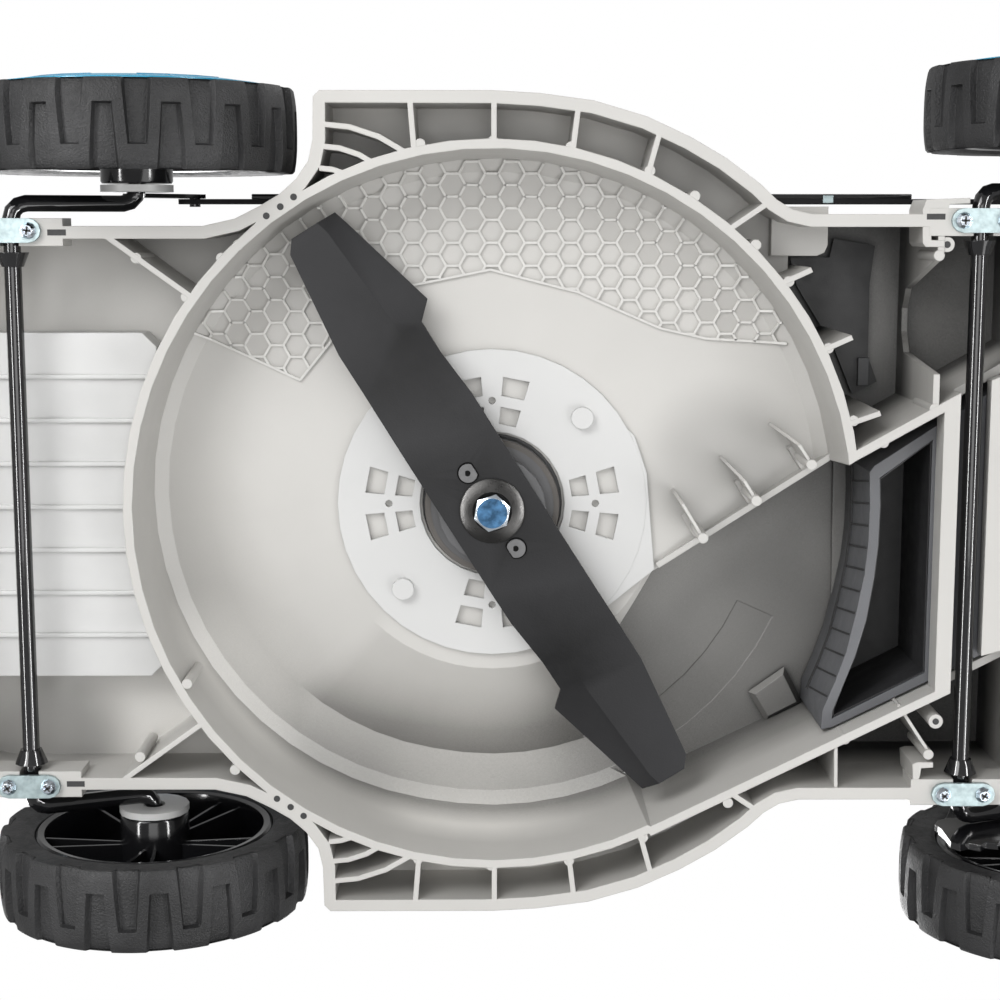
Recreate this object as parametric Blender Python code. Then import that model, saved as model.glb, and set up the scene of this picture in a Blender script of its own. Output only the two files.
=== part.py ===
"""Cordless lawn mower, built part by part in metres. X is forward, Y is to the left, Z is up."""
import math

import bmesh
import bpy
from mathutils import Matrix, Vector

# Gaps: touching pieces, turning pieces, and the cover on its seat
CLEARANCE = 0.0003
RUNNING_GAP = 0.0005
SEAT_GAP = 0.0008

# Cutting deck
RIM_Z = 0.058
SKIRT_TOP = 0.112
SKIRT_WALL = 0.007
DECK_SKIN = 0.0043
LOW_ROOF = 0.109
DEEP_ROOF = 0.155
PLATEAU = 0.101
RING_RADIUS = 0.2043
RING_WALL = 0.0043
WALL_DRAFT = 0.0048
WALL_TOP_RADIUS = RING_RADIUS - WALL_DRAFT
ROOF_EDGE = 0.0075
ROOF_EDGE_RADIUS = WALL_TOP_RADIUS - ROOF_EDGE
CONE_RADIUS = 0.168
PLATEAU_RADIUS = 0.100
RING_STEPS = 56
RIB = 0.003
REAR_TOP = 0.159
REAR_BLOCK_X = -0.168
BAY_START = -0.172
RIM_STEP = 0.0004
DECK_FRONT = 0.318
DECK_REAR = -0.312
DECK_HALF_WIDTH = 0.2345
FLANGE_Y = 0.1675
MOTOR_DISH = 0.0780
RAMP_START = 10.0
RAMP_END = -80.0
VOLUTE_END = 203.0

# Left half of the deck rim, from the nose to the tail
DECK_HALF = [
    (DECK_FRONT, 0.140), (0.306, 0.157), (0.290, 0.161), (0.160, 0.161), (0.142, 0.165), (0.128, 0.172),
    (0.117, 0.1785), (0.108, 0.1865), (0.101, 0.1965), (0.0985, 0.208), (0.098, 0.231), (0.0945, DECK_HALF_WIDTH),
    (0.0, DECK_HALF_WIDTH), (-0.026, 0.233), (-0.056, 0.229), (-0.085, 0.2205), (-0.109, 0.2095), (-0.129, 0.198),
    (-0.148, 0.184), (-0.157, 0.1755), (-0.166, 0.170), (-0.177, FLANGE_Y), (-0.300, FLANGE_Y), (DECK_REAR, 0.157),
]
RIBS_LEFT = [
    ((0.0452, 0.232), (0.0425, 0.198)), ((-0.0011, 0.232), (-0.0011, 0.200)), ((-0.0478, 0.229), (-0.0440, 0.198)),
    ((-0.0930, 0.215), (-0.0850, 0.186)), ((-0.1560, 0.176), (-0.1280, 0.157)),
]
FRONT_RIB = ((0.214, 0.156), (0.158, 0.1155))
FINS = [((-0.158, 0.128), (-0.1775, 0.137)), ((-0.182, 0.091), (-0.201, 0.0995)), ((-0.198, 0.050), (-0.218, 0.057))]
COMB_ARCS = [(0.218, 0.082), (0.206, 0.055), (0.194, 0.036)]
COMB_X = 0.092
CROSS_WALL_X = -0.249
CROSS_WALL_CUT = [(0.146, 0.050), (0.124, 0.136), (0.112, 0.144), (0.098, 0.144), (0.086, 0.136), (0.078, 0.050)]

# Box in the nose
BOX_FRONT = 0.304
BOX_LENGTH = 0.112
BOX_HALF_WIDTH = 0.1005
BOX_CORNER = 0.008
BOX_LOW = 0.086
BOX_RIBS = 7
BOX_RIB = 0.0026
BOX_RIB_PITCH = 0.0252

# Discharge chute
CHUTE_UPPER = [(-0.095, -0.041), (-0.207, 0.031)]
CHUTE_GUSSETS = (0.033, 0.070, 0.107)
CHUTE_WALL_THICK = 0.0036
CHUTE_INNER = [(-0.095, -0.041), (-0.205, 0.030), (-0.254, 0.0575), (-0.254, -0.1035), (-0.092, -0.1835),
               (-0.055, -0.170), (-0.066, -0.092)]
CHUTE_OUTER = [(-0.0885, -0.0320), (-0.206, 0.0365), (-0.263, 0.0685), (-0.263, -0.1045), (-0.092, -0.1893),
               (-0.060, -0.150)]
TUNNEL_INNER = [(-0.236, 0.0473), (-0.254, 0.0575), (-0.330, 0.1005), (-0.330, -0.066), (-0.254, -0.1035),
                (-0.236, -0.1124)]
TUNNEL_OUTER = [(-0.240, 0.0555), (-0.263, 0.0685), (DECK_REAR, 0.0962), (DECK_REAR, -0.0795), (-0.263, -0.1045),
                (-0.240, -0.1158)]
SILL_TOP = 0.0748
TUNNEL_BOTTOM = 0.077
CHUTE_WALL_BOTTOM = 0.099

# Motor plate, motor and blade
PLATE_THICK = 0.003
PLATE_Z = PLATEAU - CLEARANCE - PLATE_THICK
PLATE_RADIUS = 0.0905
PLATE_TAIL = [(-0.050, 0.070), (-0.083, 0.040), (-0.0905, 0.018), (-0.0955, -0.0395), (-0.069, -0.061), (0.0, -0.080)]
PLATE_HOLE = 0.0425
PLATE_SCREW_RADIUS = 0.0605
PLATE_PEGS = [(-0.0525, 0.0505), (0.0525, -0.0505)]
WINDOW_RINGS = [(0.0470, 0.0570), (0.0635, 0.0745)]
WINDOW_ANGLES = [(-17.0, -5.0), (5.0, 17.0)]
MOTOR_HOLE = 0.0410
MOTOR_NECK = 0.0390
MOTOR_RADIUS = 0.0550
MOTOR_FACE_Z = 0.088
MOTOR_TOP = 0.152
SHAFT_RADIUS = 0.006
ADAPTER_RADIUS = 0.0205
BLADE_Z = 0.070
BLADE_THICK = 0.003
BLADE_ANGLE = 57.7
BLADE_PIN_RADIUS = 0.0045
BLADE_PIN_REACH = 0.0257
BOLT_ACROSS_FLATS = 0.019
BOLT_HEAD = 0.0065
WASHER_RADIUS = 0.019
# One arm of the blade: distance along it, leading edge, sail line, trailing edge, centre height, trailing lift
BLADE_ARM = [
    (0.0, -0.0262, 0.010, 0.0262, 0.0, 0.0),
    (0.040, -0.0262, 0.010, 0.0262, 0.0, 0.0),
    (0.062, -0.0262, 0.010, 0.0262, 0.001, 0.001),
    (0.092, -0.0262, 0.010, 0.0235, 0.004, 0.002),
    (0.112, -0.0262, 0.010, 0.0235, 0.004, 0.005),
    (0.121, -0.0262, 0.010, 0.0330, 0.004, 0.010),
    (0.183, -0.0185, 0.006, 0.0170, 0.004, 0.010),
    (0.190, -0.0130, 0.004, 0.0150, 0.004, 0.009),
]

# Wheels, cranked axles and height setting
ROD_RADIUS = 0.005
ROD_Z = 0.065
FRONT_ROD_X = 0.267
REAR_ROD_X = -0.272
CRANK_BACK = 0.0655
WHEEL_RADIUS = 0.0915
CRANK_BEND = 0.0085
COLLAR_RADIUS = 0.0095
COLLAR_LENGTH = 0.008
COLLAR_TIP = 0.0062
COLLAR_INSIDE = 0.027
STUB_PAST_TYRE = 0.015
FRONT_ARM_Y = 0.1735
REAR_ARM_Y = 0.1800
FRONT_TYRE_Y = 0.2140
REAR_TYRE_Y = 0.2265
TYRE_WIDTH = 0.047
TYRE_BORE = 0.070
TYRE_SHOULDER = 0.0892
TYRE_RIDGE = 0.0015
WHEEL_STEPS = 32
WHEEL_Z = WHEEL_RADIUS * math.cos(math.pi / WHEEL_STEPS)
POCKET_DEPTH = 0.005
POCKET_MARGIN = 0.0035
HUB_RADIUS = 0.0205
HUB_REACH = 0.0305
SPACER_THICK = 0.004
SPACER_PLAY = 0.0015
CAP_RADIUS = 0.077
CAP_STEPS = 24
HUB_STEPS = 16
SPOKES = 5
LINK_Y = 0.1750
LINK_THICK = 0.003
LINK_HALF_HEIGHT = 0.007
LINK_PIN_BACK = 0.093
LINK_PIN_UP = 0.059
PIN_RADIUS = 0.0032
BRACKET_Y = 0.1780
BRACKET_THICK = 0.0024
CLAMP_FRONT_Y = 0.1585
CLAMP_REAR_Y = 0.1640
CLAMP_SCREW = 0.0115
CLAMP_WIDTH = 0.0135
CLAMP_THICK = 0.0025
SCREW_HEAD_RADIUS = 0.0047
SCREW_HEAD = 0.0028
SCREW_SHANK = 0.0022
SCREW_DEPTH = 0.012
PAD_HALF = 0.030
PAD_INSIDE = 0.0085
PAD_OUTSIDE = 0.0068
PAD_TOP = 0.080
LEVER_THICK = 0.003
LEVER_ANGLE = -20.0
LEVER_LENGTH = 0.205
NOTCH_OUTER_Y = -0.1890
SECTOR_RADIUS = 0.036

# Mulching plug and rear flap
PLUG_BOTTOM = SILL_TOP + CLEARANCE
PLUG_TOP = 0.1500
PLUG_WALL = 0.0055
PLUG_OUTLINE = [
    (-0.2165, 0.0215), (-0.2172, 0.0020), (-0.2169, -0.0200), (-0.2152, -0.0385), (-0.2114, -0.0590), (-0.2058, -0.0845),
    (-0.2000, -0.1013), (-0.1929, -0.1190), (-0.1925, -0.1305), (-0.1990, -0.1290), (-0.2540, -0.1015), (-0.3040, -0.0755),
    (-0.3040, 0.0800), (-0.2540, 0.0482), (-0.2190, 0.0250),
]
PLUG_HOLLOW = [
    (-0.2222, 0.0180), (-0.2230, 0.0020), (-0.2225, -0.0210), (-0.2208, -0.0395), (-0.2168, -0.0655), (-0.2109, -0.0871),
    (-0.2050, -0.1026), (-0.1990, -0.1190), (-0.1985, -0.1240), (-0.2520, -0.0965), (-0.2520, 0.0400),
]
PLUG_PULL = ((-0.3150, -0.045, 0.098), (-0.2990, 0.050, 0.108))
PLUG_SLIDE = (-0.875, 0.484, 0.0)
FLAP_HINGE_X = -0.300
FLAP_HINGE_Z = 0.172
FLAP_LENGTH = 0.074
FLAP_SLOPE = 14.0
FLAP_HALF_WIDTH = 0.090
FLAP_CENTRE_Y = 0.0085
HINGE_RADIUS = 0.0045

# Top cover, battery and key
COVER_LEVELS = [
    (SKIRT_TOP + CLEARANCE, -0.206, 0.268, 0.148), (0.150, -0.203, 0.262, 0.146), (0.182, -0.195, 0.238, 0.134),
    (0.203, -0.182, 0.205, 0.116), (0.213, -0.160, 0.170, 0.094),
]
COVER_WALL = 0.0035
COVER_STEPS = 28
COVER_POWER = 3.2
BAY = (-0.128, 0.022, 0.047)
BAY_FLOOR = 0.166
BAY_RIM = 0.219
BATTERY_TOP = 0.232
BAY_WALL = 0.003
BAY_FLANGE = 0.008
BAY_FLANGE_LOW = 0.2136
BATTERY_PLAY = 0.0036
GRIP_SLOT = (0.2225, 0.2295)
GRIP_DEPTH = 0.0085
GRIP_END = 0.030
KEY_X = 0.062
KEY_RADIUS = 0.0120
KEY_HOLE = 0.0125
KEY_WING = (0.010, 0.0025, 0.216, 0.2335)
VENT_COUNT = 6
VENT_START = 0.110
VENT_PITCH = 0.011
VENT_WIDE = 0.005
VENT_REACH = (0.018, 0.060)

# Handle
TUBE_RADIUS = 0.0125
TUBE_BORE = 0.0110
TUBE_SIDES = 12
BEND_STEPS = 3
BOLT_SIDES = 8
PIVOT_X = -0.285
PIVOT_Z = 0.188
LOWER_Y = 0.152
UPPER_Y = 0.1795
FOLD_X = -0.655
FOLD_Z = 0.580
EAR_Y = 0.1345
EAR_THICK = 0.006
BOLT_RADIUS = 0.004
BOLT_BORE = BOLT_RADIUS / math.cos(math.pi / BOLT_SIDES) + CLEARANCE
GRIP_X = -0.955
GRIP_Z = 0.985
BAIL_X = GRIP_X + 0.075
BAIL_Z = GRIP_Z - 0.0832
BAIL_ROD = 0.004
BAIL_PIVOT = 0.330
BAIL_LEFT = 0.1735
BAIL_RIGHT = -0.164
BAIL_RISE = (0.045, 0.0, 0.105)
BAIL_BEND = 0.006
BRACE_SHARE = 0.45
BRACE_RADIUS = 0.009
LEG_OVERLAP = 0.030
LEG_FOOT = 0.018

# Switch box and its lock button
BOX_HALF = 0.022
BOX_HALF_LENGTH = 0.055
BOX_UNDER = 0.030
BOX_OVER = 0.026
BOX_ALONG = 0.300
BUTTON_BACK = 0.020
BUTTON_RADIUS = 0.0085
BUTTON_BOTTOM = 0.0175
BUTTON_TALL = 0.015
WELL_BOTTOM = 0.010

# The blade axis stands this far ahead of the middle of the whole length
ORIGIN_SHIFT = -(DECK_FRONT + GRIP_X - TUBE_RADIUS) / 2

ROOT = None
SOLIDS = None
CUTTERS = None


def clear_scene():
    for obj in list(bpy.data.objects):
        bpy.data.objects.remove(obj, do_unlink=True)
    for coll in list(bpy.data.collections):
        bpy.data.collections.remove(coll)


def add_collection(name):
    coll = bpy.data.collections.new(name)
    bpy.context.scene.collection.children.link(coll)
    return coll


def material(name, colour, rough, metal=0.0):
    mat = bpy.data.materials.new(name)
    mat.use_nodes = True
    shader = mat.node_tree.nodes["Principled BSDF"]
    shader.inputs["Base Color"].default_value = (*colour, 1.0)
    shader.inputs["Roughness"].default_value = rough
    shader.inputs["Metallic"].default_value = metal
    mat.diffuse_color = (*colour, 1.0)
    return mat


def place(name, mesh, pivot, coll):
    obj = bpy.data.objects.new(name, mesh)
    obj.location = pivot
    obj.parent = ROOT  # every size is measured from the blade axis, which this empty carries
    coll.objects.link(obj)
    return obj


def part(name, bm, look, pivot=(0.0, 0.0, 0.0), smooth=False):
    """A finished sub-part whose origin is its pivot; look is (colour, roughness, metallic)."""
    bmesh.ops.translate(bm, verts=bm.verts, vec=-Vector(pivot))
    bmesh.ops.recalc_face_normals(bm, faces=bm.faces)
    for face in bm.faces:
        face.smooth = smooth
    mesh = bpy.data.meshes.new(name)
    bm.to_mesh(mesh)
    bm.free()
    mesh.materials.append(material(name, *look))
    return place(name, mesh, pivot, SOLIDS)


def copy_part(source, name, look, location, turn=0.0):
    """Another copy of a sub-part, with the same shape and steps and its own material."""
    mesh = source.data.copy()
    mesh.materials.clear()
    mesh.materials.append(material(name, *look))
    obj = place(name, mesh, location, SOLIDS)
    obj.rotation_euler = (0.0, 0.0, turn)
    for step in source.modifiers:
        new = obj.modifiers.new(step.name, step.type)
        if step.type == "BOOLEAN":
            new.operation = step.operation
            new.solver = "EXACT"
            new.object = step.object
    return obj


def tool(name, bm):
    """A cutting or adding body, kept out of the model's own collection."""
    bmesh.ops.recalc_face_normals(bm, faces=bm.faces)
    mesh = bpy.data.meshes.new(name)
    bm.to_mesh(mesh)
    bm.free()
    obj = place(name, mesh, (0.0, 0.0, 0.0), CUTTERS)
    obj.hide_render = True
    obj.display_type = "WIRE"
    return obj


def combine(obj, other, operation):
    step = obj.modifiers.new(other.name, "BOOLEAN")
    step.operation = operation
    step.solver = "EXACT"
    step.object = other
    return obj


def cut(obj, name, bm):
    return combine(obj, tool(name, bm), "DIFFERENCE")


def add(obj, name, bm):
    return combine(obj, tool(name, bm), "UNION")


def merge_into(bm, other):
    """Copies the faces of one bmesh into another and frees it."""
    mesh = bpy.data.meshes.new("temporary")
    other.to_mesh(mesh)
    other.free()
    bm.from_mesh(mesh)
    bpy.data.meshes.remove(mesh)
    return bm


def gather(pieces):
    bm = bmesh.new()
    for piece in pieces:
        merge_into(bm, piece)
    return bm


def prism(outline, low, high):
    bm = bmesh.new()
    verts = [bm.verts.new((x, y, low)) for x, y in outline]
    face = bm.faces.new(verts)
    made = bmesh.ops.extrude_face_region(bm, geom=[face])
    moved = [v for v in made["geom"] if isinstance(v, bmesh.types.BMVert)]
    bmesh.ops.translate(bm, verts=moved, vec=(0.0, 0.0, high - low))
    return bm


def side_prism(outline, low, high):
    """A prism drawn in X and Z and extruded along Y."""
    bm = prism(outline, low, high)
    for v in bm.verts:
        v.co = (v.co.x, v.co.z, v.co.y)
    return bm


def box(low, high):
    x0, y0, z0 = low
    x1, y1, z1 = high
    return prism([(x0, y0), (x1, y0), (x1, y1), (x0, y1)], z0, z1)


def slab(start, end, thick, low, high):
    """A straight upright wall between two points in plan."""
    a = Vector(start)
    b = Vector(end)
    side = (b - a).normalized().orthogonal() * thick / 2
    corners = [a + side, b + side, b - side, a - side]
    return prism([(p.x, p.y) for p in corners], low, high)


def disc(centre, axis, radius, length, steps=16, radius_end=None):
    """A cylinder or cone that starts at centre and runs along axis."""
    bm = bmesh.new()
    end = radius if radius_end is None else radius_end
    bmesh.ops.create_cone(bm, cap_ends=True, segments=steps, radius1=radius, radius2=end, depth=length)
    turn = Vector((0.0, 0.0, 1.0)).rotation_difference(Vector(axis)).to_matrix().to_4x4()
    middle = Vector(centre) + Vector(axis).normalized() * length / 2
    bmesh.ops.transform(bm, matrix=Matrix.Translation(middle) @ turn, verts=bm.verts)
    return bm


def lathe(profile, steps, along_y=False):
    """A closed ring turned from (radius, height) points, about Z, or about Y."""
    bm = bmesh.new()
    rings = []
    for i in range(steps):
        angle = 2 * math.pi * (i + 0.5) / steps
        ring = []
        for radius, height in profile:
            a = radius * math.cos(angle)
            b = radius * math.sin(angle)
            ring.append(bm.verts.new((b, height, a) if along_y else (a, b, height)))
        rings.append(ring)
    count = len(profile)
    for i in range(steps):
        here = rings[i]
        after = rings[(i + 1) % steps]
        for j in range(count):
            k = (j + 1) % count
            bm.faces.new((here[j], here[k], after[k], after[j]))
    return bm


def tube_mesh(points, radius, sides=8, cyclic=False):
    """A round bar along a line of points, with flat ends."""
    curve = bpy.data.curves.new("route", "CURVE")
    curve.dimensions = "3D"
    curve.bevel_depth = radius
    curve.bevel_resolution = sides // 2 - 2
    curve.use_fill_caps = True
    line = curve.splines.new("POLY")
    line.points.add(len(points) - 1)
    for spot, point in zip(line.points, points):
        spot.co = (*point, 1.0)
    obj = bpy.data.objects.new("route", curve)
    bpy.context.scene.collection.objects.link(obj)
    bpy.context.view_layer.update()
    mesh = bpy.data.meshes.new_from_object(obj.evaluated_get(bpy.context.evaluated_depsgraph_get()))
    bm = bmesh.new()
    bm.from_mesh(mesh)
    bmesh.ops.remove_doubles(bm, verts=bm.verts, dist=1e-6)
    bpy.data.objects.remove(obj, do_unlink=True)
    bpy.data.curves.remove(curve)
    bpy.data.meshes.remove(mesh)
    return bm


def bent_line(corners, radius, steps=4):
    """The corner points of a bent tube, with each inner corner rounded."""
    points = [Vector(corners[0])]
    for before, here, after in zip(corners, corners[1:], corners[2:]):
        p = Vector(here)
        back = (Vector(before) - p).normalized()
        ahead = (Vector(after) - p).normalized()
        half = back.angle(ahead) / 2
        reach = radius / math.tan(half)
        centre = p + (back + ahead).normalized() * (radius / math.sin(half))
        start = (p + back * reach - centre).normalized()
        stop = (p + ahead * reach - centre).normalized()
        for i in range(steps + 1):
            points.append(centre + start.slerp(stop, i / steps) * radius)
    points.append(Vector(corners[-1]))
    return points


def inset(outline, distance):
    """The outline moved inwards; points run round it one way."""
    area = sum(a[0] * b[1] - b[0] * a[1] for a, b in zip(outline, outline[1:] + outline[:1]))
    sign = 1.0 if area > 0 else -1.0
    result = []
    count = len(outline)
    for i in range(count):
        a = Vector(outline[i - 1])
        b = Vector(outline[i])
        c = Vector(outline[(i + 1) % count])
        one = (b - a).normalized()
        two = (c - b).normalized()
        normal = Vector((-(one.y + two.y), one.x + two.x)).normalized() * sign
        spread = max(0.5, normal.dot(Vector((-one.y, one.x)) * sign))
        result.append(b + normal * distance / spread)
    return without_turned_edges(outline, result)


def without_turned_edges(outline, moved):
    """Joins the two ends of an edge that the inset turned round, as at a small corner."""
    result = []
    skip = False
    count = len(outline)
    for i in range(count):
        if skip:
            skip = False
            continue
        k = (i + 1) % count
        before = Vector(outline[k]) - Vector(outline[i])
        if k and before.dot(moved[k] - moved[i]) < 0:
            result.append(tuple((moved[i] + moved[k]) / 2))
            skip = True
        else:
            result.append(tuple(moved[i]))
    return result


def mirrored(points):
    return [(x, -y) for x, y in points]


def full_outline(half):
    return half + mirrored(half)[::-1]


def arc_slab(top, radius):
    """One curved bar of the grass comb at the front corner of the skirt."""
    centre = (COMB_X + 0.003, top - radius)
    outer = []
    inner = []
    for i in range(7):
        angle = math.radians(90 + i * 12)
        for reach, line in ((radius, outer), (radius - RIB, inner)):
            line.append((centre[0] + reach * math.cos(angle), centre[1] + reach * math.sin(angle)))
    return outer + inner[::-1]


def roof_height(degrees):
    """The chamber roof rises along the way the blade throws the grass."""
    share = (RAMP_START - degrees) / (RAMP_START - RAMP_END)
    share = min(1.0, max(0.0, share))
    return LOW_ROOF + (DEEP_ROOF - LOW_ROOF) * share


def volute(grow, bottom):
    """The spiral cutting chamber as a solid, grown by a wall thickness for its outside."""
    bm = bmesh.new()
    under = bm.verts.new((0.0, 0.0, bottom))
    over = bm.verts.new((0.0, 0.0, PLATEAU + grow))
    rings = []
    angles = [VOLUTE_END - 358.5 * i / (RING_STEPS - 1) for i in range(RING_STEPS)]
    for degrees in angles:
        top = roof_height(degrees)
        profile = [
            (RING_RADIUS + grow, bottom), (WALL_TOP_RADIUS + grow, top - 0.006),
            (ROOF_EDGE_RADIUS + grow * 0.5, top + grow), (CONE_RADIUS, top + grow),
            (PLATEAU_RADIUS, PLATEAU + grow),
        ]
        c = math.cos(math.radians(degrees))
        s = math.sin(math.radians(degrees))
        rings.append([bm.verts.new((r * c, r * s, z)) for r, z in profile])
    for here, after in zip(rings, rings[1:] + rings[:1]):
        bm.faces.new((under, here[0], after[0]))
        for j in range(len(here) - 1):
            bm.faces.new((here[j], here[j + 1], after[j + 1], after[j]))
        bm.faces.new((here[-1], over, after[-1]))
    return bm


def kept_in_pockets():
    """What the pocket cutter leaves standing: ring, chute, ribs, fins and comb bars."""
    keep = []
    low = RIM_Z - 0.02
    high = REAR_TOP + 0.02
    for side in (1, -1):
        for start, end in RIBS_LEFT + [FRONT_RIB]:
            keep.append(slab((start[0], start[1] * side), (end[0], end[1] * side), RIB, low, high))
        for top, radius in COMB_ARCS:
            outline = arc_slab(top, radius)
            keep.append(prism([(x, y * side) for x, y in outline], low, high))
    for start, end in FINS:
        keep.append(slab(start, end, RIB, low, high))
    return keep


def pocket_cutter():
    """The hollows under the skirt and the deep bay behind the ring, as one cutting body."""
    outline = inset(full_outline(DECK_HALF), SKIRT_WALL)
    pockets = tool("cut_pockets", prism(outline, RIM_Z - 0.010, LOW_ROOF - 0.0005))
    wall = FLANGE_Y - SKIRT_WALL - 0.0001
    end = DECK_REAR + SKIRT_WALL + 0.0001
    bay = [(BAY_START, wall), (end, wall), (end, -wall), (BAY_START, -wall)]
    combine(pockets, tool("add_rear_bay", prism(bay, RIM_Z - 0.011, DEEP_ROOF)), "UNION")
    low = RIM_Z - 0.03
    high = REAR_TOP + 0.03
    ring = lathe_solid(RING_RADIUS + RING_WALL, low, high, RING_STEPS)
    combine(pockets, tool("keep_ring", ring), "DIFFERENCE")
    combine(pockets, tool("keep_chute", prism(CHUTE_OUTER, low, high)), "DIFFERENCE")
    combine(pockets, tool("keep_tunnel", prism(TUNNEL_OUTER, TUNNEL_BOTTOM, high)), "DIFFERENCE")
    for number, piece in enumerate(kept_in_pockets()):
        combine(pockets, tool("keep_rib_%02d" % number, piece), "DIFFERENCE")
    return pockets


def lathe_solid(radius, low, high, steps):
    outline = []
    for i in range(steps):
        angle = 2 * math.pi * i / steps
        outline.append((radius * math.cos(angle), radius * math.sin(angle)))
    return prism(outline, low, high)


def cross_wall():
    """The wall left of the chute, with its six-sided cut-out."""
    low = RIM_Z + RIM_STEP
    wall = side_prism([(0.0585, low), (0.1620, low), (0.1620, 0.157), (0.0585, 0.157)],
                      CROSS_WALL_X - 0.0018, CROSS_WALL_X + 0.0018)
    for v in wall.verts:
        v.co = (v.co.y, v.co.x, v.co.z)
    return wall


def cross_wall_cut():
    hole = side_prism(CROSS_WALL_CUT, CROSS_WALL_X - 0.006, CROSS_WALL_X + 0.006)
    for v in hole.verts:
        v.co = (v.co.y, v.co.x, v.co.z)
    return hole


def chute_line():
    """Start, direction and left-hand side of the wall between the low roof and the deep chute."""
    start = Vector(CHUTE_UPPER[0])
    along = (Vector(CHUTE_UPPER[1]) - start).normalized()
    side = Vector((along.y, -along.x))
    return start, along, side


def chute_wall():
    """The hanging wall between the low roof and the deep chute."""
    start, along, side = chute_line()
    offset = side * CHUTE_WALL_THICK / 2
    end = Vector(CHUTE_UPPER[1]) + offset
    return slab(start + offset + along * 0.004, end, CHUTE_WALL_THICK, CHUTE_WALL_BOTTOM, LOW_ROOF + 0.002)


def chute_gussets():
    line_start, along, side = chute_line()
    pieces = []
    for reach in CHUTE_GUSSETS:
        start = line_start + along * reach + side * 0.002
        end = start + side * 0.017
        pieces.append(slab(start, end, RIB, CHUTE_WALL_BOTTOM + 0.002, LOW_ROOF + 0.002))
    return gather(pieces)


def rod_slots():
    pieces = []
    for x in (FRONT_ROD_X, REAR_ROD_X):
        half = ROD_RADIUS + RUNNING_GAP
        outline = [(x - half, RIM_Z - 0.01), (x + half, RIM_Z - 0.01)]
        for i in range(9):
            angle = math.pi * i / 8
            outline.append((x + half * math.cos(angle), ROD_Z + half * math.sin(angle)))
        pieces.append(side_prism(outline, -0.20, 0.20))
    return gather(pieces)


def clamp_places():
    """Name, x, y of each axle clamp."""
    places = []
    for name, x, y in (("front", FRONT_ROD_X, CLAMP_FRONT_Y), ("rear", REAR_ROD_X, CLAMP_REAR_Y)):
        places.append((name + "_left", x, y))
        places.append((name + "_right", x, -y))
    return places


def clamp_pads():
    pieces = []
    for name, x, y in clamp_places():
        sign = 1 if y > 0 else -1
        inner = abs(y) - PAD_INSIDE
        outer = abs(y) + PAD_OUTSIDE
        low_y, high_y = sorted((inner * sign, outer * sign))
        reach = PAD_HALF
        pieces.append(box((x - reach, low_y, RIM_Z), (x + reach, high_y, PAD_TOP)))
    return gather(pieces)


def screw_holes():
    pieces = []
    for name, x, y in clamp_places():
        for step in (-CLAMP_SCREW, CLAMP_SCREW):
            start = (x + step, y, RIM_Z - 0.005)
            pieces.append(disc(start, (0, 0, 1), SCREW_SHANK + CLEARANCE, SCREW_DEPTH + 0.008, 8))
    return gather(pieces)


def handle_ears():
    pieces = []
    for side in (1, -1):
        low, high = sorted((side * (EAR_Y - EAR_THICK / 2), side * (EAR_Y + EAR_THICK / 2)))
        outline = [(-0.308, REAR_TOP - 0.003), (-0.255, REAR_TOP - 0.003), (-0.272, PIVOT_Z + 0.012),
                   (-0.285, PIVOT_Z + 0.016), (-0.298, PIVOT_Z + 0.012)]
        pieces.append(side_prism(outline, low, high))
    for y in (FLAP_CENTRE_Y - 0.100, FLAP_CENTRE_Y + 0.100):
        outline = [(-0.311, REAR_TOP - 0.003), (-0.286, REAR_TOP - 0.003), (-0.292, FLAP_HINGE_Z + 0.007),
                   (-0.308, FLAP_HINGE_Z + 0.007)]
        pieces.append(side_prism(outline, y - 0.004, y + 0.004))
    return gather(pieces)


def hinge_holes():
    pieces = []
    for side in (1, -1):
        start = (PIVOT_X, side * EAR_Y - 0.01, PIVOT_Z)
        pieces.append(disc(start, (0, 1, 0), BOLT_BORE, 0.02, BOLT_SIDES))
    for y in (FLAP_CENTRE_Y - 0.100, FLAP_CENTRE_Y + 0.100):
        start = (FLAP_HINGE_X, y - 0.008, FLAP_HINGE_Z)
        pieces.append(disc(start, (0, 1, 0), HINGE_RADIUS + CLEARANCE, 0.016, 12))
    return gather(pieces)


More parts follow.
